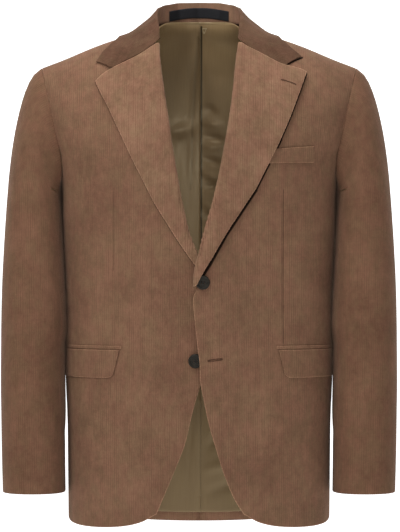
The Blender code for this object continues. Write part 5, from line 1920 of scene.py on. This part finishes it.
# ---- buttons ------------------------------------------------------------------------------------
@dataclass(frozen=True)
class Button:
    """A turned horn button with a raised rim and four holes.

    Attributes:
        name: The new object's name.
        node: The node it replaces.
        side: The front it lies on.
        seen: Its middle as seen from the front, across and up.
        radius: Metres from its middle to its edge.
        thick: Metres through its rim.
        rim: Width of the rim.
        dish: How far the face lies below the rim.
        hole: Radius of its holes.
        hole_apart: How far out its holes lie.
    """

    name: str
    node: str
    side: Side
    seen: Place
    radius: float = 10.5 * MM
    thick: float = 3.2 * MM
    rim: float = 2.6 * MM
    dish: float = 0.8 * MM
    hole: float = 0.95 * MM
    hole_apart: float = 2.1 * MM

    def centre(self) -> Array:
        """Its middle."""
        turn = 1.0 if self.side.upper else -1.0
        out, z = np.array(turn * self.seen[0]), np.array(self.seen[1])
        stand = CLOTH / 2 + 0.3 * MM + self.thick / 2
        return front_place(self.side, out, z, stand) * np.array([turn, 1.0, 1.0])

    def profile(self) -> list[Place]:
        """Radius and height from the middle of its face to the middle of its back."""
        half, r, inner = self.thick / 2, self.radius, self.radius - self.rim
        return [
            (0.0, half - self.dish), (inner - 1.2 * MM, half - self.dish),
            (inner - 0.3 * MM, half - 0.55 * self.dish), (inner + 0.5 * MM, half - 0.05 * MM),
            (r - 1.5 * MM, half), (r - 0.7 * MM, half - 0.2 * MM),
            (r - 0.15 * MM, half - 0.75 * MM), (r, 0.0), (r - 0.4 * MM, -half + 0.7 * MM),
            (r - 1.4 * MM, -half + 0.1 * MM), (r - 2.4 * MM, -half), (0.0, -half),
        ]

    def hole_places(self) -> list[Place]:
        """Places of the holes, across and up."""
        corners = ((1, 0.62), (-1, 0.62), (-1, -0.62), (1, -0.62))
        return [(x * self.hole_apart, z * self.hole_apart) for x, z in corners]

    def build(self, finish: bpy.types.Material) -> bpy.types.Object:
        centre = self.centre()
        bm = bmesh.new()
        verts = [bm.verts.new((x, 0.0, y)) for x, y in self.profile()]
        edges = [bm.edges.new(pair) for pair in zip(verts, verts[1:])]
        bmesh.ops.spin(bm, geom=verts + edges, cent=(0, 0, 0), axis=(0, 0, 1), dvec=(0, 0, 0),
                       angle=2 * math.pi, steps=56, use_merge=True)
        bmesh.ops.remove_doubles(bm, verts=bm.verts, dist=0.01 * MM)
        bmesh.ops.recalc_face_normals(bm, faces=bm.faces)
        disc = self._worked("turned", bm)
        bm = bmesh.new()
        for x, z in self.hole_places():
            found = bmesh.ops.create_cone(bm, cap_ends=True, segments=20, radius1=self.hole,
                                          radius2=self.hole, depth=4 * self.thick)
            bmesh.ops.translate(bm, verts=found["verts"], vec=(x, z, 0))
        cutter = self._worked("holes", bm)
        bore = disc.modifiers.new("bore", "BOOLEAN")
        bore.object, bore.operation, bore.solver = cutter, "DIFFERENCE", "EXACT"
        mesh = baked(disc, cutter)
        points = np.empty(len(mesh.vertices) * 3, np.float32)
        mesh.vertices.foreach_get("co", points)
        points = points.reshape(-1, 3)
        turned = np.stack([points[:, 0], -points[:, 2], points[:, 1]], -1) + centre
        mesh.vertices.foreach_set("co", turned.astype(np.float32).ravel())
        mesh.materials.clear()
        mesh.materials.append(finish)
        mesh.shade_smooth()
        mesh.set_sharp_from_angle(angle=math.radians(40))
        made = linked(self.name, mesh)
        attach(made, "root")
        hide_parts(self.node)
        LOG.info("%s: %d faces", self.name, len(mesh.polygons))
        return made

    def _worked(self, name: str, bm: bmesh.types.BMesh) -> bpy.types.Object:
        """Make a working object from a bmesh."""
        mesh = bpy.data.meshes.new(f"{self.name}_{name}")
        bm.to_mesh(mesh)
        bm.free()
        return linked(mesh.name, mesh)


BUTTONS = (
    Button("button_top_turned", "button_top", Side.UPPER, (0.0056, -0.3628)),
    Button("button_lower_turned", "button_lower", Side.UNDER, (-0.0051, -0.4775)),
)


# ---- sewing -------------------------------------------------------------------------------------
@dataclass
class Path:
    """Points along a row of stitches, each with the way its stitch lies."""

    points: list[Array] = field(default_factory=list)
    lies: list[Array] = field(default_factory=list)
    runs: list[int] = field(default_factory=list)

    def add(self, points: Sequence[Array], lies: Sequence[Array]) -> None:
        """Add one run of points."""
        self.points.extend(points)
        self.lies.extend(lies)
        self.runs.append(len(points))


@dataclass(frozen=True)
class Stitches:
    """Thread laid along paths, as small rounded stitches.

    Attributes:
        name: The new object's name.
        spacing: Metres from stitch to stitch.
        length: Metres along each stitch.
        radius: Metres, half its thickness.
    """

    name: str
    spacing: float
    length: float
    radius: float

    def build(self, path: Path, finish: bpy.types.Material, slot: str) -> bpy.types.Object:
        """Lay the stitches by Geometry Nodes and keep them as a plain mesh."""
        mesh = bpy.data.meshes.new(self.name)
        edges, start = [], 0
        for count in path.runs:
            edges += [(n, n + 1) for n in range(start, start + count - 1)]
            start += count
        mesh.from_pydata([tuple(p) for p in path.points], edges, [])
        lie = mesh.attributes.new("lie", "FLOAT_VECTOR", "POINT")
        lie.data.foreach_set("vector", np.array(path.lies, np.float32).ravel())
        source = linked(f"{self.name}_path", mesh)
        mod = source.modifiers.new("stitches", "NODES")
        mod.node_group = stitch_tree()
        values = {"Spacing": self.spacing, "Length": self.length, "Radius": self.radius,
                  "Material": finish}
        for item in mod.node_group.interface.items_tree:
            if item.item_type == "SOCKET" and item.in_out == "INPUT" and item.name in values:
                mod[item.identifier] = values[item.name]
        laid = baked(source)
        laid.shade_smooth()
        made = linked(self.name, laid)
        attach(made, "root")
        LOG.info("%s: %d faces", self.name, len(laid.polygons))
        return made


@cache
def stitch_tree() -> bpy.types.NodeTree:
    """A stitch on each of the evenly spaced places of a path, laid along its attribute lie."""
    tree = bpy.data.node_groups.new("stitch_rows", "GeometryNodeTree")
    for direction, name, kind, value in (
        ("OUTPUT", "Geometry", "Geometry", None), ("INPUT", "Geometry", "Geometry", None),
        ("INPUT", "Spacing", "Float", 1.0 * MM), ("INPUT", "Length", "Float", 2.0 * MM),
        ("INPUT", "Radius", "Float", 0.2 * MM), ("INPUT", "Seed", "Int", 7),
        ("INPUT", "Material", "Material", None),
    ):
        socket = tree.interface.new_socket(name, in_out=direction, socket_type=f"NodeSocket{kind}")
        if value is not None:
            socket.default_value = value
    g = Graph(tree)
    given = g.node("NodeGroupInput").outputs
    curve = g.node("GeometryNodeMeshToCurve", {0: given["Geometry"]})
    even = g.node("GeometryNodeResampleCurve",
                  {"Curve": curve.outputs[0], "Length": given["Spacing"]}, mode="LENGTH")
    bead = g.node("GeometryNodeMeshUVSphere", {"Segments": 8, "Rings": 6, "Radius": 1.0})
    half = g.math("MULTIPLY", given["Length"], 0.5)
    size = g.node("ShaderNodeCombineXYZ", {0: given["Radius"], 1: given["Radius"], 2: half})
    shape = g.node("GeometryNodeTransform", {"Geometry": bead.outputs[0], "Scale": size.outputs[0]})
    lie = g.node("GeometryNodeInputNamedAttribute", {"Name": "lie"}, data_type="FLOAT_VECTOR")
    turn = g.node("FunctionNodeAlignRotationToVector", {"Vector": lie.outputs["Attribute"]},
                  axis="Z")
    vary = g.node("FunctionNodeRandomValue", {2: 0.88, 3: 1.1, "Seed": given["Seed"]},
                  data_type="FLOAT")
    put = g.node("GeometryNodeInstanceOnPoints", {
        "Points": even.outputs[0], "Instance": shape.outputs[0], "Rotation": turn.outputs[0],
        "Scale": vary.outputs[1],
    })
    real = g.node("GeometryNodeRealizeInstances", {0: put.outputs[0]})
    paint = g.node("GeometryNodeSetMaterial",
                   {"Geometry": real.outputs[0], "Material": given["Material"]})
    g.node("NodeGroupOutput", {0: paint.outputs[0]})
    return tree


def seen_point(net: Net, place: Place, across: Array, low: float, stand: float) -> Array:
    """The point that is seen from the front at a place, on the outer face of a net's cloth.

    Args:
        net: The net.
        place: Across and up.
        across: The columns to look at.
        low: Share of the net's rows below the first row to look at.
        stand: Metres from the net out to the face.

    Returns:
        The point.
    """
    rows = len(net.points)
    c, r = np.meshgrid(across, np.linspace(low * rows, rows - 1, 220))
    points = net.point(c, r)
    near = np.argmin((points[..., 0] - place[0]) ** 2 + (points[..., 2] - place[1]) ** 2)
    column, row = c.ravel()[near:near + 1], r.ravel()[near:near + 1]
    return (net.point(column, row) + net.normal(column, row) * stand)[0]


def buttonhole(path: Path, start: Array, end: Array, out: Array, gap: float, proud: float) -> None:
    """Both lips of a buttonhole, with close stitches across each lip.

    Args:
        path: Takes the stitches.
        start: One end on the cloth's face.
        end: The other end.
        out: The way out from the cloth.
        gap: Metres between the middles of the lips.
        proud: Metres that the stitches' middles stand on the cloth.
    """
    run = unit(end - start)
    side = unit(np.cross(run, out))
    middle, reach = (start + end) / 2, float(np.linalg.norm(end - start)) / 2
    points, lies = [], []
    for turn in np.linspace(0, 2 * math.pi, 73):
        cos, sin = math.cos(turn), math.sin(turn)
        shape = run * reach * signed_power(np.array(cos), 3.2) + side * gap / 2 * sin
        points.append(middle + shape + out * proud)
        lies.append(unit(run * cos * gap / reach + side * sin))
    path.add(points, lies)


LAPEL_HOLE = ((0.1203, -0.0667), (0.1420, -0.0728))  # both ends, across and up
FRONT_HOLE = ((0.0125, -0.4772), (0.0340, -0.4745))
BARTACK = (
    ((0.0052, 0.0238), (0.0080, 0.0165)), ((0.0114, 0.0238), (0.0086, 0.0165)),
    ((0.0056, 0.0236), (0.0110, 0.0236)),
)
LABEL_ENDS = (0.12, 11.88)  # columns of the label's net


class Sewing:
    """Every buttonhole, bartack and row of stitches."""

    def __init__(self, wardrobe: Wardrobe) -> None:
        """Keep the materials, and the ways forward and up."""
        self.wardrobe = wardrobe
        self.front = np.array([0.0, -1.0, 0.0])
        self.up = np.array([0.0, 0.0, 1.0])

    def buttonholes(self) -> None:
        """The lapel's buttonhole and the lower button's."""
        path, net = Path(), lapel_net(Side.UPPER)
        across = np.linspace(3, net.points.shape[1] - 1, 160)
        start, end = (seen_point(net, place, across, 0.0, LAPEL_WALL / 2) for place in LAPEL_HOLE)
        buttonhole(path, start, end, unit(np.cross(end - start, self.up)), 2.1 * MM, 0.15 * MM)
        start, end = (front_place(Side.UPPER, np.array(x), np.array(z), CLOTH / 2)
                      for x, z in FRONT_HOLE)
        buttonhole(path, start, end, self.front, 2.2 * MM, 0.5 * MM)
        rows = Stitches("buttonhole_stitches", 0.55 * MM, 1.6 * MM, 0.26 * MM)
        rows.build(path, self.wardrobe.thread, "corduroy")

    def button_threads(self, button: Button) -> None:
        """The crossed threads through a button's holes."""
        centre, places = button.centre(), button.hole_places()
        path = Path()
        face = -(button.thick / 2 - button.dish + 0.15 * MM)
        for first, second in ((0, 2), (1, 3)):
            a, b = (centre + np.array([places[n][0], face, places[n][1]]) for n in (first, second))
            run = unit(b - a)
            across = np.cross(run, self.front)
            for shift in (-0.28, 0.0, 0.28):
                proud = np.array([0.0, -0.1 * MM * (first + 1), 0.0])
                middle = (a + b) / 2 + across * shift * MM + proud
                path.add([middle - across * 0.01 * MM, middle + across * 0.01 * MM], [run, run])
        length = 2 * math.hypot(*places[0]) + 0.6 * MM
        rows = Stitches(f"{button.name}_thread", 1.0 * MM, length, 0.22 * MM)
        rows.build(path, self.wardrobe.black, "button_horn")

    def bartack(self) -> None:
        """The bartack that holds the lining's pleat."""
        path, net = Path(), lining_net(False)
        across = np.linspace(1.5, net.points.shape[1] - 1, 200)
        for places in BARTACK:
            ends = [seen_point(net, place, across, 0.7, LINING / 2 + 0.1 * MM) for place in places]
            path.add(ends, [unit(np.cross(unit(ends[1] - ends[0]), self.front))] * 2)
        rows = Stitches("pleat_bartack", 0.42 * MM, 1.7 * MM, 0.34 * MM)
        rows.build(path, self.wardrobe.gold, "lining_satin")

    def label_ends(self) -> None:
        """The stitches at both ends of the label."""
        path, net = Path(), label_net()
        for column in LABEL_ENDS:
            c, r = np.full(9, column), np.linspace(0.1, 1.9, 9)
            path.add(list(net.point(c, r) + net.normal(c, r) * 0.55 * MM), [self.up] * 9)
        rows = Stitches("label_stitches", 2.2 * MM, 1.5 * MM, 0.16 * MM)
        rows.build(path, self.wardrobe.label, "label_cloth")


# ---- the studio ---------------------------------------------------------------------------------
@dataclass(frozen=True)
class Softbox:
    """A square area light."""

    name: str
    place: Colour
    target: Colour
    size: float
    power: float
    colour: Colour = WHITE

    def build(self) -> None:
        """Add the light."""
        light = bpy.data.lights.new(self.name, "AREA")
        light.size, light.energy, light.color = self.size, self.power, self.colour
        made = linked(self.name, light)
        made.location = self.place
        aim = Vector(self.target) - Vector(self.place)
        made.rotation_euler = aim.to_track_quat("-Z", "Y").to_euler()


@dataclass(frozen=True)
class Studio:
    """Pale sweep, soft lights and the camera."""

    floor_z: float = -1.90
    half_width: float = 13.0
    front_y: float = -8.0
    back_y: float = 7.5
    bend: float = 3.0
    height: float = 10.0
    world: float = 0.260
    glow: float = 0.85
    camera: Colour = (0.0015, -4.0, -0.339)
    frame_height: float = 0.798

    def build(self) -> None:
        """Set the studio up."""
        self._sweep()
        self._world()
        for box in (
            Softbox("key", (-1.15, -1.5, 1.25), (0.0, 0.0, -0.05), 0.6, 21.0, (1.0, 0.985, 0.96)),
            Softbox("fill", (0.12, -3.6, 0.02), (0.0, 0.0, -0.15), 0.5, 16.5),
            Softbox("top", (-0.1, -0.35, 1.4), (0.0, 0.0, -0.05), 1.0, 28.5),
        ):
            box.build()
        self._camera()

    def _sweep(self) -> None:
        """The floor, curved up into a backdrop."""
        turns = np.linspace(0, math.pi / 2, 25)
        profile = [(self.front_y, self.floor_z), (-2.0, self.floor_z), (0.0, self.floor_z)]
        profile += [(self.back_y - self.bend + self.bend * math.sin(turn),
                     self.floor_z + self.bend * (1 - math.cos(turn))) for turn in turns]
        profile.append((self.back_y, self.floor_z + self.height))
        points = [(x, y, z) for y, z in profile for x in (-self.half_width, self.half_width)]
        faces = [[2 * n, 2 * n + 1, 2 * n + 3, 2 * n + 2] for n in range(len(profile) - 1)]
        finish, g, shader = Finish("backdrop", (0.9, 0.9, 0.9), 0.95, specular=0.1).start()
        grain = g.range(g.noise(g.place(), 3.0, rough=0.5), 0.3, 0.7)
        g.join(g.mix(grain, (0.90, 0.90, 0.90), (0.93, 0.93, 0.93)), shader.inputs["Base Color"])
        g.join((*WHITE, 1.0), shader.inputs["Emission Color"])
        g.join(self.glow, shader.inputs["Emission Strength"])
        solid("backdrop", np.array(points), faces, (finish,), [0] * len(faces))

    def _world(self) -> None:
        """Even pale light from all round."""
        world = bpy.data.worlds.new("studio")
        world.use_nodes = True
        shade = world.node_tree.nodes["Background"]
        shade.inputs["Color"].default_value = (1.0, 1.0, 1.0, 1.0)
        shade.inputs["Strength"].default_value = self.world
        bpy.context.scene.world = world

    def _camera(self) -> None:
        """The camera, level with the middle of the frame."""
        lens = bpy.data.cameras.new("camera")
        lens.sensor_fit, lens.sensor_height = "VERTICAL", 24.0
        lens.lens = lens.sensor_height * -self.camera[1] / self.frame_height
        made = linked("camera", lens)
        made.location, made.rotation_euler = self.camera, (math.pi / 2, 0.0, 0.0)
        bpy.context.scene.camera = made


def main() -> None:
    """Dress the jacket and set up the studio."""
    logging.basicConfig(level=logging.INFO, format="%(name)s: %(message)s")
    bpy.context.scene.view_settings.view_transform = "Standard"
    Studio().build()
    wardrobe = Wardrobe.make()
    tailor = Tailor(wardrobe)
    tailor.body()
    tailor.lapels_and_collar()
    tailor.sleeves()
    tailor.pockets()
    tailor.inside()
    for button in BUTTONS:
        button.build(wardrobe.horn)
    sewing = Sewing(wardrobe)
    sewing.buttonholes()
    for button in BUTTONS:
        sewing.button_threads(button)
    sewing.bartack()
    sewing.label_ends()


if __name__ == "__main__":
    main()
